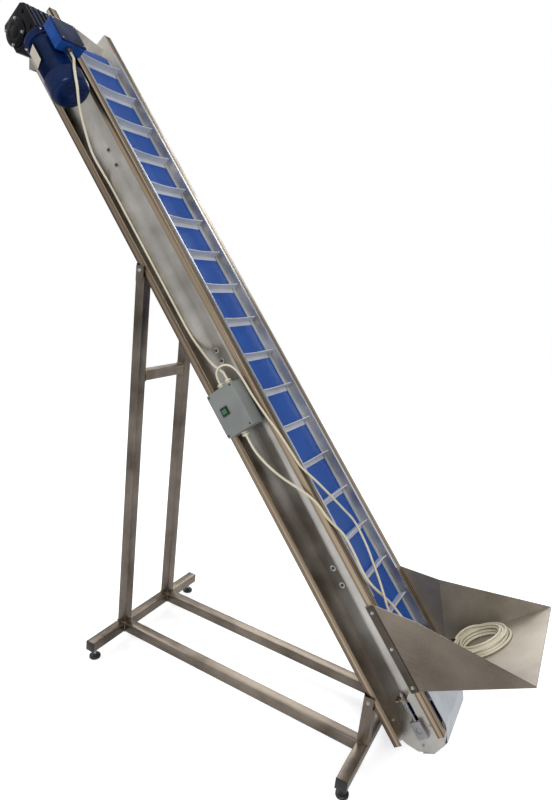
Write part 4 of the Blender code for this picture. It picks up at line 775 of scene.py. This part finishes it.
def longEdge(axis):
    def wanted(edge):
        run = edge.verts[1].co - edge.verts[0].co
        return run.length > tubeCorner["shortest"] and abs(run.normalized()[axis]) > 0.999
    return wanted


for node, axis, surface in (
    ("rear_cross_beam", 1, "tubeY"), ("front_cross_beam", 1, "tubeY"),
    ("long_beam_near", 0, "tubeX"), ("long_beam_far", 0, "tubeX"), ("upright_rung", 1, "tubeY"),
    ("upright_near", 2, "tubeZ"), ("upright_far", 2, "tubeZ"),
    ("front_post_near", 2, "tubeZ"), ("front_post_far", 2, "tubeZ"),
):
    dressed(node, surface, tubeCorner["radius"], tubeCorner["segments"], longEdge(axis),
            cut=cap["lip"] if "cross" in node else 0.0)


def addEndCaps():
    # black plugs pressed into the open ends of the two cross beams
    half = cap["size"] / 2
    inner = cap["inside"] / 2
    shape = merged(boxShape((-half, -half, 0), (half, half, cap["lip"]), 0.0012),
                   boxShape((-inner, -inner, -cap["depth"]), (inner, inner, 0.0004), 0.0005))
    points = []
    for node in ("rear_cross_beam", "front_cross_beam"):
        low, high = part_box(node)
        for y, way in ((low.y, -1), (high.y, 1)):
            mouth = ((low.x + high.x) / 2, y - way * cap["lip"], (low.z + high.z) / 2)
            points.append((mouth, (0, way, 0), (1, 0, 0)))
    setOut("beamEndCaps", shape, "blackPlastic", "frame", points)


addEndCaps()

weld = {"size": 0.0032, "spacing": 0.0024, "tube": 0.040}


def weldLoop(corners, normal):
    # ripples of weld metal along a closed line of corners
    points = []
    for a, b in zip(corners, corners[1:] + corners[:1]):
        a, b = Vector(a), Vector(b)
        run = b - a
        count = max(2, round(run.length / weld["spacing"]))
        for k in range(count):
            points.append((tuple(a + run * k / count), normal, tuple(run.normalized())))
    return points


def addWelds():
    shape = bmesh.new()
    bmesh.ops.create_icosphere(shape, subdivisions=1, radius=weld["size"])
    bmesh.ops.scale(shape, vec=(0.55, 1.0, 0.62), verts=shape.verts)
    half = weld["tube"] / 2
    points = []
    for side in ("near", "far"):
        low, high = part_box(f"long_beam_{side}")
        y, z = (low.y + high.y) / 2, (low.z + high.z) / 2
        for x, way in ((low.x, 1), (high.x, -1)):
            ring = [(x, y - half, z - half), (x, y + half, z - half), (x, y + half, z + half),
                    (x, y - half, z + half)]
            points += weldLoop(ring, (way, 0, 0))
        for node in (f"upright_{side}", f"front_post_{side}"):
            low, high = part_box(node)
            x = (low.x + high.x) / 2
            ring = [(x - half, y - half, low.z), (x + half, y - half, low.z), (x + half, y + half, low.z),
                    (x - half, y + half, low.z)]
            points += weldLoop(ring, (0, 0, 1))
    low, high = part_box("upright_rung")
    x, z = (low.x + high.x) / 2, (low.z + high.z) / 2
    for y, way in ((low.y, 1), (high.y, -1)):
        ring = [(x - half, y, z - half), (x + half, y, z - half), (x + half, y, z + half),
                (x - half, y, z + half)]
        points += weldLoop(ring, (0, way, 0))
    setOut("weldBeads", shape, "weld", "frame", points)


addWelds()

foot = {"padRadius": 0.022, "padHeight": 0.010, "bossHeight": 0.008, "bossFoot": 0.013, "bossRadius": 0.0105,
        "stemRadius": 0.006, "nutRadius": 0.0105, "nutHeight": 0.006, "nutGap": 0.0003,
        "threadPitch": 0.0018, "threadDepth": 0.0006}


def footPad():
    edge, top = foot["padRadius"], foot["padHeight"]
    return turnedShape([(0, 0), (edge - 0.001, 0), (edge, 0.001), (edge, top - 0.002), (edge - 0.002, top),
                        (foot["bossFoot"], top + 0.002), (foot["bossRadius"], top + foot["bossHeight"]),
                        (0, top + foot["bossHeight"])], 36)


def footStem(underBeam, top):
    # thread ridges from the pad's boss up, and the lock nut under the beam
    radius, pitch = foot["stemRadius"], foot["threadPitch"]
    root = radius - foot["threadDepth"]
    height = foot["padHeight"] + foot["bossHeight"] - 0.001
    profile = [(0, height)]
    while height + pitch < top:
        profile += [(root, height), (radius, height + pitch / 2)]
        height += pitch
    profile += [(root, height), (0, height)]
    edge, low = foot["nutRadius"], underBeam - foot["nutHeight"]
    nut = turnedShape([(radius - 0.0003, low), (edge - 0.0008, low), (edge, low + 0.0008), (edge, underBeam),
                       (radius - 0.0003, underBeam)], 6)
    return merged(turnedShape(profile, 16), nut)


def addFeet():
    # a black ribbed pad on a plated threaded stem with its lock nut
    for end in ("rear", "front"):
        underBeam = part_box(f"{end}_cross_beam")[0].z - foot["nutGap"]
        for side in ("near", "far"):
            node = f"levelling_foot_{end}_{side}"
            low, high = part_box(node)
            middle = Vector(((low.x + high.x) / 2, (low.y + high.y) / 2, 0))
            place = Matrix.Translation(middle + Vector((0, 0, low.z)))
            finished(f"footPad_{end}_{side}", footPad(), place, "blackPlastic", bodyOf(node))
            finished(f"footStem_{end}_{side}", footStem(underBeam, high.z), Matrix.Translation(middle),
                     "zincSteel", bodyOf(node), 30, (node,))


addFeet()
print("stand dressed")

# ---- side plates, bed, ties and guides
plateFold = {"radius": 0.0042, "segments": 5, "edge": 0.0006, "inside": 0.1165, "outside": 0.1175,
             "lipStart": 0.1215}
# the pale strip that stands as a painted highlight on the inner fold
hem = {"inside": 0.1105, "outside": 0.1200, "height": 0.0012, "start": -0.700, "end": 1.590}
plateTop = max((slopeMatrix.inverted() @ vertex.co).z for vertex in cadNodes["side_plate_near"].data.vertices)


def slopeEdge(edge):
    run = (edge.verts[1].co - edge.verts[0].co)
    return run.length > 0.2 and abs((slopeTurn.inverted() @ run.normalized()).x) > 0.999


def addSidePlate(side):
    # the long folds are rounder than the sheet's own edges
    def foldEdge(edge):
        local = slopeMatrix.inverted() @ edge.verts[0].co
        return slopeEdge(edge) and plateFold["inside"] < abs(local.y) < plateFold["outside"]
    node = f"side_plate_{side}"
    built = mergedCopy(node)
    easedEdges(built, plateFold["radius"], plateFold["segments"], foldEdge)
    easedEdges(built, plateFold["edge"], 2, slopeEdge, (80, 100))
    piece = finished(f"{node}_dressed", built, None, "plate", "frame", 35, (node,), flip=False)
    # the lip faces take the lip surface, with its painted reflection stripes
    secondSurface(piece, "lip",
                  lambda face: abs((slopeMatrix.inverted() @ face.center).y) > plateFold["lipStart"])


for side in ("near", "far"):
    addSidePlate(side)
    dressed(f"guide_strip_{side}", "guide", 0.0012, 2, slopeEdge)
    dressed(f"head_bearing_{side}", "black", 0.003, 3)
    dressed(f"take_up_block_{side}", "turnedSteel", 0.0012, 2, lambda edge: edge.calc_length() > 0.012)
    dressed(f"hopper_bar_{side}", "flatBar", 0.0008, 2)
for way, side in ((-1, "near"), (1, "far")):
    # a pale strip laid over the plate's inner fold: a painted highlight that shows as a pale line beside the
    # belt where the rounded fold catches the light
    ends = sorted((way * hem["inside"], way * hem["outside"]))
    strip = boxShape((hem["start"], ends[0], plateTop + 0.0002),
                     (hem["end"], ends[1], plateTop + hem["height"]), 0.0005)
    finished(f"hem_{side}", strip, slopeMatrix, "hem", "frame")
dressed("slider_bed", "innerSheet", 0.0012, 2, slopeEdge)
for number in (1, 2, 3):
    dressed(f"cross_tie_{number}", "turnedSteel")
dressed("tail_cover", "paleSheet", smoothDeg=20)
dressed("discharge_hood", "innerSheet", 0.0012, 2, lambda edge: edge.calc_length() > 0.05)
dressed("drive_plate", "plate", 0.0010, 2, lambda edge: edge.calc_length() > 0.05)
dressed("head_drum", "turnedSteel", 0.0008, 2)
dressed("tail_drum", "turnedSteel", 0.0008, 2)
dressed("worm_wheel", "bronze")
hubCap = {"radius": 0.0205, "depth": 0.0016}


def addHubCap():
    # a dark cap closes the output bore and turns with the wheel
    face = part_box("worm_wheel")[0].y
    shape = turnedShape([(0, 0.0002), (hubCap["radius"], 0.0002), (hubCap["radius"], hubCap["depth"] * 0.7),
                         (hubCap["radius"] - 0.001, hubCap["depth"]), (0, hubCap["depth"])], 40)
    setOut("outputCap", shape, "black", bodyOf("worm_wheel"),
           [slopePoint(incline["headS"], face, -turnRadius, (0, -1, 0))])


addHubCap()
dressed("motor_rotor", "turnedSteel")
# faces turned down or outward take the darker copy, painted shade on the hopper's outside
secondSurface(dressed("hopper", "sheet", smoothDeg=20), "sheetOutsidePaintedShade",
              lambda face: face.normal.z < -0.05 or face.normal.y * face.center.y > 0.02)
print("conveyor body dressed")

# ---- belt and cleats
belt = {"width": 0.216, "thickness": 0.003, "soft": 0.0008, "turnSteps": 40}
cleat = {"width": 0.197, "height": 0.034, "thickness": 0.0048, "tip": 0.0036, "foot": 0.0186,
         "footThickness": 0.0016, "dish": 0.0062, "fillet": 0.0022, "columns": 28, "lift": 0.00015}


def addBelt():
    # a closed loop: half a turn round the head, then half a turn round the tail
    line = [(centre, start + math.pi * k / belt["turnSteps"])
            for centre, start in ((incline["headS"], math.pi / 2), (tailS, -math.pi / 2))
            for k in range(belt["turnSteps"] + 1)]
    half, soft, under = belt["width"] / 2, belt["soft"], -belt["thickness"]
    section = [(-half + soft, 0), (half - soft, 0), (half, -soft), (half, under + soft), (half - soft, under),
               (-half + soft, under), (-half, under + soft), (-half, -soft)]
    built = bmesh.new()
    rings = []
    for centre, angle in line:
        ring = []
        for y, depth in section:
            radius = turnRadius + depth
            spot = (centre + radius * math.cos(angle), y, -turnRadius + radius * math.sin(angle))
            ring.append(built.verts.new(spot))
        rings.append(ring)
    for ring, after in zip(rings, rings[1:] + rings[:1]):
        for k in range(len(section)):
            j = (k + 1) % len(section)
            built.faces.new((ring[k], ring[j], after[j], after[k]))
    finished("beltLoop", built, slopeMatrix, "belt", "frame", 40, ("belt_carcass",))


def cleatShape(footWay=1):
    # a blade on a welded foot; its top edge dips at mid-width and its root is filleted
    half, tip, base, lift = cleat["thickness"] / 2, cleat["tip"] / 2, cleat["footThickness"], cleat["lift"]
    fillet = cleat["fillet"]
    toe = half + cleat["foot"] - 0.002
    built = bmesh.new()
    rows = []
    for column in range(cleat["columns"] + 1):
        across = column / cleat["columns"] * 2 - 1
        y = across * cleat["width"] / 2
        top = cleat["height"] - cleat["dish"] * (1 - across ** 2)
        section = [(-half, lift), (toe, lift), (toe - 0.0006, base), (half + fillet, base + 0.0002),
                   (half + fillet * 0.3, base + fillet * 0.35), (half, base + fillet), (tip, top - 0.0010),
                   (tip - 0.0009, top), (-tip + 0.0009, top), (-tip, top - 0.0010)]
        rows.append([built.verts.new((footWay * a, y, b)) for a, b in section])
    for row, after in zip(rows, rows[1:]):
        for k in range(len(row)):
            j = (k + 1) % len(row)
            built.faces.new((row[k], row[j], after[j], after[k]))
    built.faces.new(rows[0])
    built.faces.new(rows[-1])
    return built


def placedShape(shape, matrix):
    bmesh.ops.transform(shape, matrix=matrix, verts=shape.verts)
    return shape


def addCleats():
    phase = incline["phase"] * incline["pitch"]
    rest = (1 - incline["phase"]) * incline["pitch"]
    step = slopeTurn @ Vector((incline["pitch"], 0, 0))
    upper = placedShape(cleatShape(), slopeTurn)
    first = onSlope(incline["headS"] + phase, 0, 0)
    setOut("carryingCleats", upper, "cleat", "carry_run",
           row=(incline["pitches"], first, step), replaced=("carry_cleats",))
    lower = placedShape(cleatShape(-1), slopeTurn @ Matrix.Diagonal((1, 1, -1, 1)))
    first = onSlope(incline["headS"] + rest, 0, -2 * turnRadius)
    setOut("returningCleats", lower, "cleat", "return_run",
           row=(incline["pitches"], first, step), replaced=("return_cleats",))
    for node, centre, angle in (
        ("head_cleat", incline["headS"], math.pi / 2 + math.pi * (1 - incline["phase"])),
        ("tail_cleat", tailS, math.pi / 2 - math.pi * incline["phase"]),
    ):
        place = slopeMatrix @ Matrix.Translation((centre, 0, -turnRadius)) \
            @ Matrix.Rotation(math.pi / 2 - angle, 4, "Y") @ Matrix.Translation((0, 0, turnRadius))
        finished(f"{node}_moulded", cleatShape(), place, "cleat", bodyOf(node), 35, (node,))


addBelt()
addCleats()
print("belt and cleats made")

# ---- drive
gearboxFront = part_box("gearbox_cover")[0].y
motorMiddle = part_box("motor_housing")
motorY = (motorMiddle[0].y + motorMiddle[1].y) / 2
motor = {"n": -turnRadius + 0.048, "start": 0.0605, "length": 0.177, "radius": 0.062, "core": 0.0565,
         "flange": 0.070, "seat": 0.0195, "bore": 0.0095, "fins": 44, "fin": 0.0013, "shield": 0.020,
         "boxShare": 0.80}
motorMatrix = slopeMatrix @ Matrix.Translation((incline["headS"], motorY, motor["n"]))
alongSlope = Matrix.Rotation(math.radians(90), 4, "Y")


def addMotor():
    start, end = motor["start"], motor["start"] + motor["length"]
    core, radius, flange, shield = motor["core"], motor["radius"], motor["flange"], motor["shield"]
    seat, bore = motor["seat"], motor["bore"]
    profile = [
        (seat, start), (flange - 0.002, start), (flange, start + 0.002), (flange, start + 0.009),
        (flange - 0.002, start + 0.011), (radius + 0.001, start + 0.014), (radius, start + shield),
        (core, start + shield + 0.002), (core, end - 0.014), (radius, end - 0.012), (radius, end - 0.001),
        (radius - 0.001, end), (bore, end), (bore, end - 0.010), (seat, end - 0.012), (seat, start + 0.010),
    ]
    body = turnedShape(profile, 64)
    finished("motorShell", body, motorMatrix @ alongSlope, "navy", "frame", 30,
             ("motor_housing",))
    # cooling fins stand round the shell, left out under the terminal box
    low, high = start + shield + 0.0012, end - 0.0130
    fin = boxShape((low, -motor["fin"] / 2, core - 0.001), (high, motor["fin"] / 2, radius), 0.0004, 1)
    points = []
    turn = motorMatrix.to_3x3()
    for k in range(motor["fins"]):
        angle = math.tau * (k + 0.5) / motor["fins"]
        if math.sin(angle) > motor["boxShare"]:
            continue
        outward = turn @ Vector((0, math.cos(angle), math.sin(angle)))
        points.append((tuple(motorMatrix.translation), tuple(outward), tuple(turn @ Vector((1, 0, 0)))))
    setOut("motorFins", fin, "navy", "frame", points)


cowl = {"length": 0.054, "radius": 0.0695, "bevel": 0.018, "lap": 0.012, "spokes": 6, "wall": 0.0016,
        "intake": 0.047, "ringWidth": 0.0034, "ringStep": 0.0046, "hub": 0.010}


def addFanCowl():
    end = motor["start"] + motor["length"]
    back = end + cowl["length"]
    radius, bevel, wall = cowl["radius"], cowl["bevel"], cowl["wall"]
    crown = radius - 0.8 * bevel
    throat = motor["radius"] + 0.0004
    quarter = [k / 6 * math.pi / 2 for k in range(7)]
    shell = [(throat, end - cowl["lap"]), (radius - 0.001, end - cowl["lap"]),
             (radius, end - cowl["lap"] + 0.001)]
    shell += [(crown + (radius - crown) * math.cos(t), back - bevel + bevel * math.sin(t)) for t in quarter]
    shell += [(cowl["intake"], back), (cowl["intake"], back - wall)]
    shell += [(crown - wall + (radius - crown) * math.cos(t), back - bevel - wall + bevel * math.sin(t))
              for t in reversed(quarter)]
    shell += [(radius - wall, end + 0.001), (throat, end + 0.001)]
    parts = [turnedShape(shell, 64)]
    # the air intake: close rings carried on a few spokes behind them
    outer = cowl["intake"] - 0.0004
    while outer > 0.012:
        inner = outer - cowl["ringWidth"]
        parts.append(turnedShape([(inner, back - wall), (outer, back - wall), (outer, back - 0.0002),
                                  (inner, back - 0.0002)], 48))
        outer -= cowl["ringStep"]
    parts.append(turnedShape([(0, back - wall), (cowl["hub"], back - wall), (cowl["hub"], back),
                              (0, back + 0.0003)], 32))
    for k in range(cowl["spokes"]):
        spoke = boxShape((0.008, -0.0012, back - wall - 0.0015), (0.0485, 0.0012, back - wall + 0.0001))
        parts.append(placedShape(spoke, Matrix.Rotation(math.tau * k / cowl["spokes"], 4, "Z")))
    finished("fanCowl", merged(*parts), motorMatrix @ alongSlope, "navy", "frame", 30,
             ("fan_cover",))


def hexBolt(size, head, washer=0.0):
    # a hexagon head with a chamfered crown, on a washer
    shapes = []
    if washer:
        rim, crown = size * 1.15, size * 1.05
        shapes.append(turnedShape([(0, 0), (rim, 0), (rim, washer * 0.8), (crown, washer), (0, washer)], 20))
    low, top = washer - 0.0002, washer + head
    shapes.append(turnedShape([(0, low), (size * 0.98, low), (size, washer + head * 0.15),
                               (size, washer + head * 0.8), (size * 0.86, top), (0, top)], 6))
    return merged(*shapes)


def setBolts(name, sizes, spots, surface="zincSteel"):
    setOut(name, hexBolt(*sizes), surface, "frame", spots)


# a rib's span is (s, n) from the output shaft, at its low and its high corner
gearbox = {"boltSquare": 0.0300, "ribs": 4, "ribStart": 0.018, "ribStep": 0.022, "ribWidth": 0.0036,
           "ribRound": 0.0012, "topRib": ((-0.046, 0.0855), (0.046, 0.0895)),
           "endRib": ((-0.0630, -0.026), (-0.0595, 0.070)), "plug": (0.0068, 0.0040),
           "facePlugs": (-0.030, 0.034), "plugUp": 0.066, "filler": (-0.0605, 0.02, 0.048),
           "flangeBolts": 0.0655, "flangeDepth": 0.0095}


def addGearbox():
    dressed("gearbox_housing", "black", 0.0035, 3, lambda edge: edge.calc_length() > 0.010, 30)
    dressed("gearbox_cover", "black", 0.0010, 2)
    head, n = incline["headS"], -turnRadius
    square = gearbox["boltSquare"]
    # four bright bolts stand in a square on the output face, turned with the housing
    spots = [slopePoint(head + a * square, gearboxFront + 0.0003, n + b * square, (0, -1, 0))
             for a in (-1, 1) for b in (-1, 1)]
    setBolts("gearboxCoverBolts", (0.0050, 0.0042, 0.0008), spots)
    # ribs across the housing's top and its head end
    ribs = []
    front, back = (corner.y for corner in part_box("gearbox_housing"))
    half = gearbox["ribWidth"] / 2
    for k in range(gearbox["ribs"]):
        y = front + gearbox["ribStart"] + k * gearbox["ribStep"]
        for low, high in (gearbox["topRib"], gearbox["endRib"]):
            ribs.append(boxShape((head + low[0], y - half, n + low[1]),
                                 (head + high[0], y + half, n + high[1]), gearbox["ribRound"]))
    finished("gearboxRibs", merged(*ribs), slopeMatrix, "navy", "frame")
    # two plugs on the output face and a filler plug at the head end
    plugs = [slopePoint(head + s, front + 0.0003, n + gearbox["plugUp"], (0, -1, 0))
             for s in gearbox["facePlugs"]]
    s, aside, up = gearbox["filler"]
    plugs.append(slopePoint(head + s, (front + back) / 2 - aside, n + up, (-1, 0, 0), (0, 1, 0)))
    setOut("gearboxPlugs", hexBolt(*gearbox["plug"]), "black", "frame", plugs)
    flange = []
    for k in range(4):
        angle = math.pi / 4 + math.pi / 2 * k
        y, up = gearbox["flangeBolts"] * math.cos(angle), gearbox["flangeBolts"] * math.sin(angle)
        flange.append(slopePoint(head + motor["start"] + gearbox["flangeDepth"], motorY + y, motor["n"] + up,
                                 (1, 0, 0), (0, 1, 0)))
    setBolts("motorFlangeBolts", (0.0046, 0.0045, 0.0008), flange)


motorPlate = {"length": 0.065, "width": 0.040, "lean": 107, "middle": 0.074}
terminal = {"start": 0.016, "end": 0.112, "halfWidth": 0.052, "height": 0.042, "lidThickness": 0.006,
            "overhang": 0.0015, "screw": 0.0030, "inset": 0.008}


def addTerminalBox():
    dressed("terminal_box", "lidBlue", 0.004, 3, lambda edge: edge.calc_length() > 0.03, 30)
    start = incline["headS"] + motor["start"]
    low = (start + terminal["start"], motorY - terminal["halfWidth"],
           motor["n"] + motor["radius"] + terminal["height"])
    high = (start + terminal["end"], motorY + terminal["halfWidth"], low[2] + terminal["lidThickness"])
    grow, inset = terminal["overhang"], terminal["inset"]
    lid = boxShape((low[0] - grow, low[1] - grow, low[2] + 0.0002),
                   (high[0] + grow, high[1] + grow, high[2]), 0.0025, 3)
    finished("terminalLid", lid, slopeMatrix, "navy", "frame")
    screws = [slopePoint(s, y, high[2] - 0.0006, (0, 0, 1))
              for s in (low[0] + inset, high[0] - inset) for y in (low[1] + inset, high[1] - inset)]
    shape = turnedShape([(0, 0), (terminal["screw"], 0), (terminal["screw"], 0.0014), (0.0022, 0.0022),
                         (0, 0.0022)], 16)
    setOut("terminalLidScrews", shape, "zincSteel", "frame", screws)
    # a blank tin plate on a dark pad that stands clear of the fins
    long, half = motorPlate["length"] / 2, motorPlate["width"] / 2
    lean = Matrix.Rotation(math.radians(motorPlate["lean"]), 4, "X")
    place = motorMatrix @ Matrix.Translation((motor["start"] + motorPlate["middle"], 0, 0)) @ lean \
        @ Matrix.Translation((0, 0, motor["radius"] + 0.0002))
    plate = boxShape((-long, -half, 0), (long, half, 0.0010), 0.0004, 1)
    finished("blankMotorPlate", plate, place, "blankPlate", "frame")
    pad = boxShape((-long - 0.003, -half - 0.003, -0.0085), (long + 0.003, half + 0.003, -0.0001), 0.0015, 2)
    finished("motorPlatePad", pad, place, "black", "frame")


addMotor()
addFanCowl()
addGearbox()
addTerminalBox()
dressed("motor_gland", "blackPlastic", 0.0006, 2)
dressed("motor_lead", "lead", smoothDeg=60)
print("drive dressed")

# ---- control box
controls = {"corner": 0.006, "frontEdge": 0.0022, "lidScrew": 0.0036, "inset": 0.009, "s": (0.747, 0.910),
            "n": (-0.113, 0.005), "switch": (0.824, 0, -0.070), "switchReach": 0.03}


def addControls():
    corner = controls["corner"]

    def acrossEdge(edge):
        run = edge.verts[1].co - edge.verts[0].co
        return abs(run.normalized().y) > 0.999 and run.length > 0.012
    dressed("control_box", "boxGrey", corner, 4, acrossEdge, 30)
    built = mergedCopy("control_lid")
    easedEdges(built, corner, 4, acrossEdge)
    front = min(v.co.y for v in built.verts)

    def frontEdge(edge):
        # the lid's outer rim, not the switch's cut-out
        away = max((slopeMatrix.inverted() @ v.co - Vector(controls["switch"])).length for v in edge.verts)
        return all(abs(v.co.y - front) < 1e-5 for v in edge.verts) and edge.calc_length() > 0.002 \
            and away > controls["switchReach"]
    easedEdges(built, controls["frontEdge"], 3, frontEdge, (20, 130))
    finished("control_lid_dressed", built, None, "boxGrey", "frame", 30,
             ("control_lid",), flip=False)
    dressed("switch_bezel", "blackPlastic", 0.0010, 2, lambda edge: edge.calc_length() > 0.015)
    dressed("switch_rocker", "green", 0.0008, 3, lambda edge: edge.calc_length() > 0.006)
    inset, radius = controls["inset"], controls["lidScrew"]
    spots = [slopePoint(s, front + 0.0004, n, (0, -1, 0))
             for s in (controls["s"][0] + inset, controls["s"][1] - inset)
             for n in (controls["n"][0] + inset, controls["n"][1] - inset)]
    shape = turnedShape([(0, 0), (radius, 0), (radius, 0.0010), (0.0028, 0.0016), (0.0012, 0.0016),
                         (0.0012, 0.0006), (0, 0.0006)], 20)
    setOut("controlLidScrews", shape, "blackPlastic", "frame", spots)
    nuts = []
    for node, way in (("motor_lead_gland", -1), ("second_lead_gland", -1), ("mains_gland", 1)):
        dressed(node, "lead", 0.0004, 2)
        low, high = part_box(node)
        local = slopeMatrix.inverted() @ ((low + high) / 2)
        wall = controls["s"][0 if way < 0 else 1]
        for out in (0.0005, 0.0095):
            nuts.append(slopePoint(wall + way * out, local.y, local.z, (way, 0, 0), (0, 1, 0)))
    nut = turnedShape([(0.0078, 0), (0.0118, 0), (0.0124, 0.0006), (0.0124, 0.0050), (0.0118, 0.0056),
                       (0.0078, 0.0056)], 6)
    setOut("glandNuts", nut, "lead", "frame", nuts, smoothDeg=20)


addControls()
print("controls dressed")

# ---- fasteners along the body
fasteners = {
    "seat": 0.0002, "web": 0.119, "webS": (-0.243, -0.177, 0.609, 0.651, 1.456, 1.519), "webN": -0.050,
    "bearing": 0.024, "driveS": (-0.078, 0.078), "driveN": (-0.125, 0.018),
    "barS": (1.625, 1.752, 1.885), "barN": 0.026, "tabDrop": 0.024,
    "tail": ((2.018, 0.0), (2.034, -0.010), (1.975, 0.012), (1.990, -0.128), (2.090, -0.066)),
}
takeUp = {"bracketS": 1.9175, "threadStart": 1.907, "threads": 44, "threadPitch": 0.0018}


def outerFace(node, way):
    # how far out a node reaches on one side, with the gap under a bolt's head
    low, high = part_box(node)
    return (low.y if way < 0 else high.y) + way * fasteners["seat"]


def addFasteners():
    head, n = incline["headS"], -turnRadius
    web = fasteners["web"] + fasteners["seat"]
    webBolts = [slopePoint(s, way * web, fasteners["webN"], (0, way, 0)) for s in fasteners["webS"]
                for way in (-1, 1)]
    setBolts("webBolts", (0.0052, 0.0040, 0.0012), webBolts, "flatBar")
    washer = turnedShape([(0, 0.0002), (0.0100, 0.0002), (0.0100, 0.0007), (0.0096, 0.0009), (0, 0.0009)], 24)
    setOut("webWashers", washer, "zincSteel", "frame", webBolts)
    reach, outer = fasteners["bearing"], outerFace("head_bearing_far", 1)
    bearing = [slopePoint(head + a * reach, way * outer, n + b * reach, (0, way, 0))
               for way in (-1, 1) for a in (-1, 1) for b in (-1, 1)]
    setBolts("bearingBolts", (0.0045, 0.0040, 0.0010), bearing)
    drive = [slopePoint(head + s, outerFace("drive_plate", -1), up, (0, -1, 0))
             for s in fasteners["driveS"] for up in fasteners["driveN"]]
    setBolts("drivePlateBolts", (0.0060, 0.0048, 0.0012), drive)
    sides = (("near", -1), ("far", 1))
    bars = [slopePoint(s, outerFace(f"hopper_bar_{side}", way), fasteners["barN"], (0, way, 0))
            for side, way in sides for s in fasteners["barS"]]
    setBolts("hopperBolts", (0.0050, 0.0042, 0.0010), bars)
    tail = [slopePoint(s, way * web, up, (0, way, 0)) for way in (-1, 1) for s, up in fasteners["tail"]]
    setBolts("tailBolts", (0.0042, 0.0032, 0.0008), tail)
    tabs = []
    for kind in ("upright", "front_post"):
        for side, way in sides:
            low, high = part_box(f"{kind}_{side}")
            spot = ((low.x + high.x) / 2, outerFace(f"{kind}_{side}", way), high.z - fasteners["tabDrop"])
            tabs.append((spot, (0, way, 0), (1, 0, 0)))
    setBolts("tabBolts", (0.0060, 0.0050, 0.0012), tabs)


def addTakeUpThreads():
    # thread ridges ride with the blocks; the nuts stay on their brackets
    ridges, nuts = [], []
    for side in ("near", "far"):
        low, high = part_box(f"take_up_block_{side}")
        y = (low.y + high.y) / 2
        for k in range(takeUp["threads"]):
            s = takeUp["threadStart"] + k * takeUp["threadPitch"]
            ridges.append(slopePoint(s, y, -turnRadius, (1, 0, 0), (0, 1, 0)))
        nuts.append(slopePoint(takeUp["bracketS"], y, -turnRadius, (-1, 0, 0), (0, 1, 0)))
    core, root = 0.0030, 0.0040
    ridge = turnedShape([(core, 0), (root, 0), (0.00435, 0.0005), (root, 0.0010), (core, 0.0010)], 16)
    setOut("takeUpThreads", ridge, "zincSteel", "take_up", ridges)
    nut = turnedShape([(0.0041, 0), (0.0068, 0), (0.0074, 0.0005), (0.0074, 0.0050), (0.0068, 0.0055),
                       (0.0041, 0.0055)], 6)
    setOut("takeUpNuts", nut, "zincSteel", "frame", nuts, smoothDeg=20)


addFasteners()
addTakeUpThreads()
print("fasteners set")
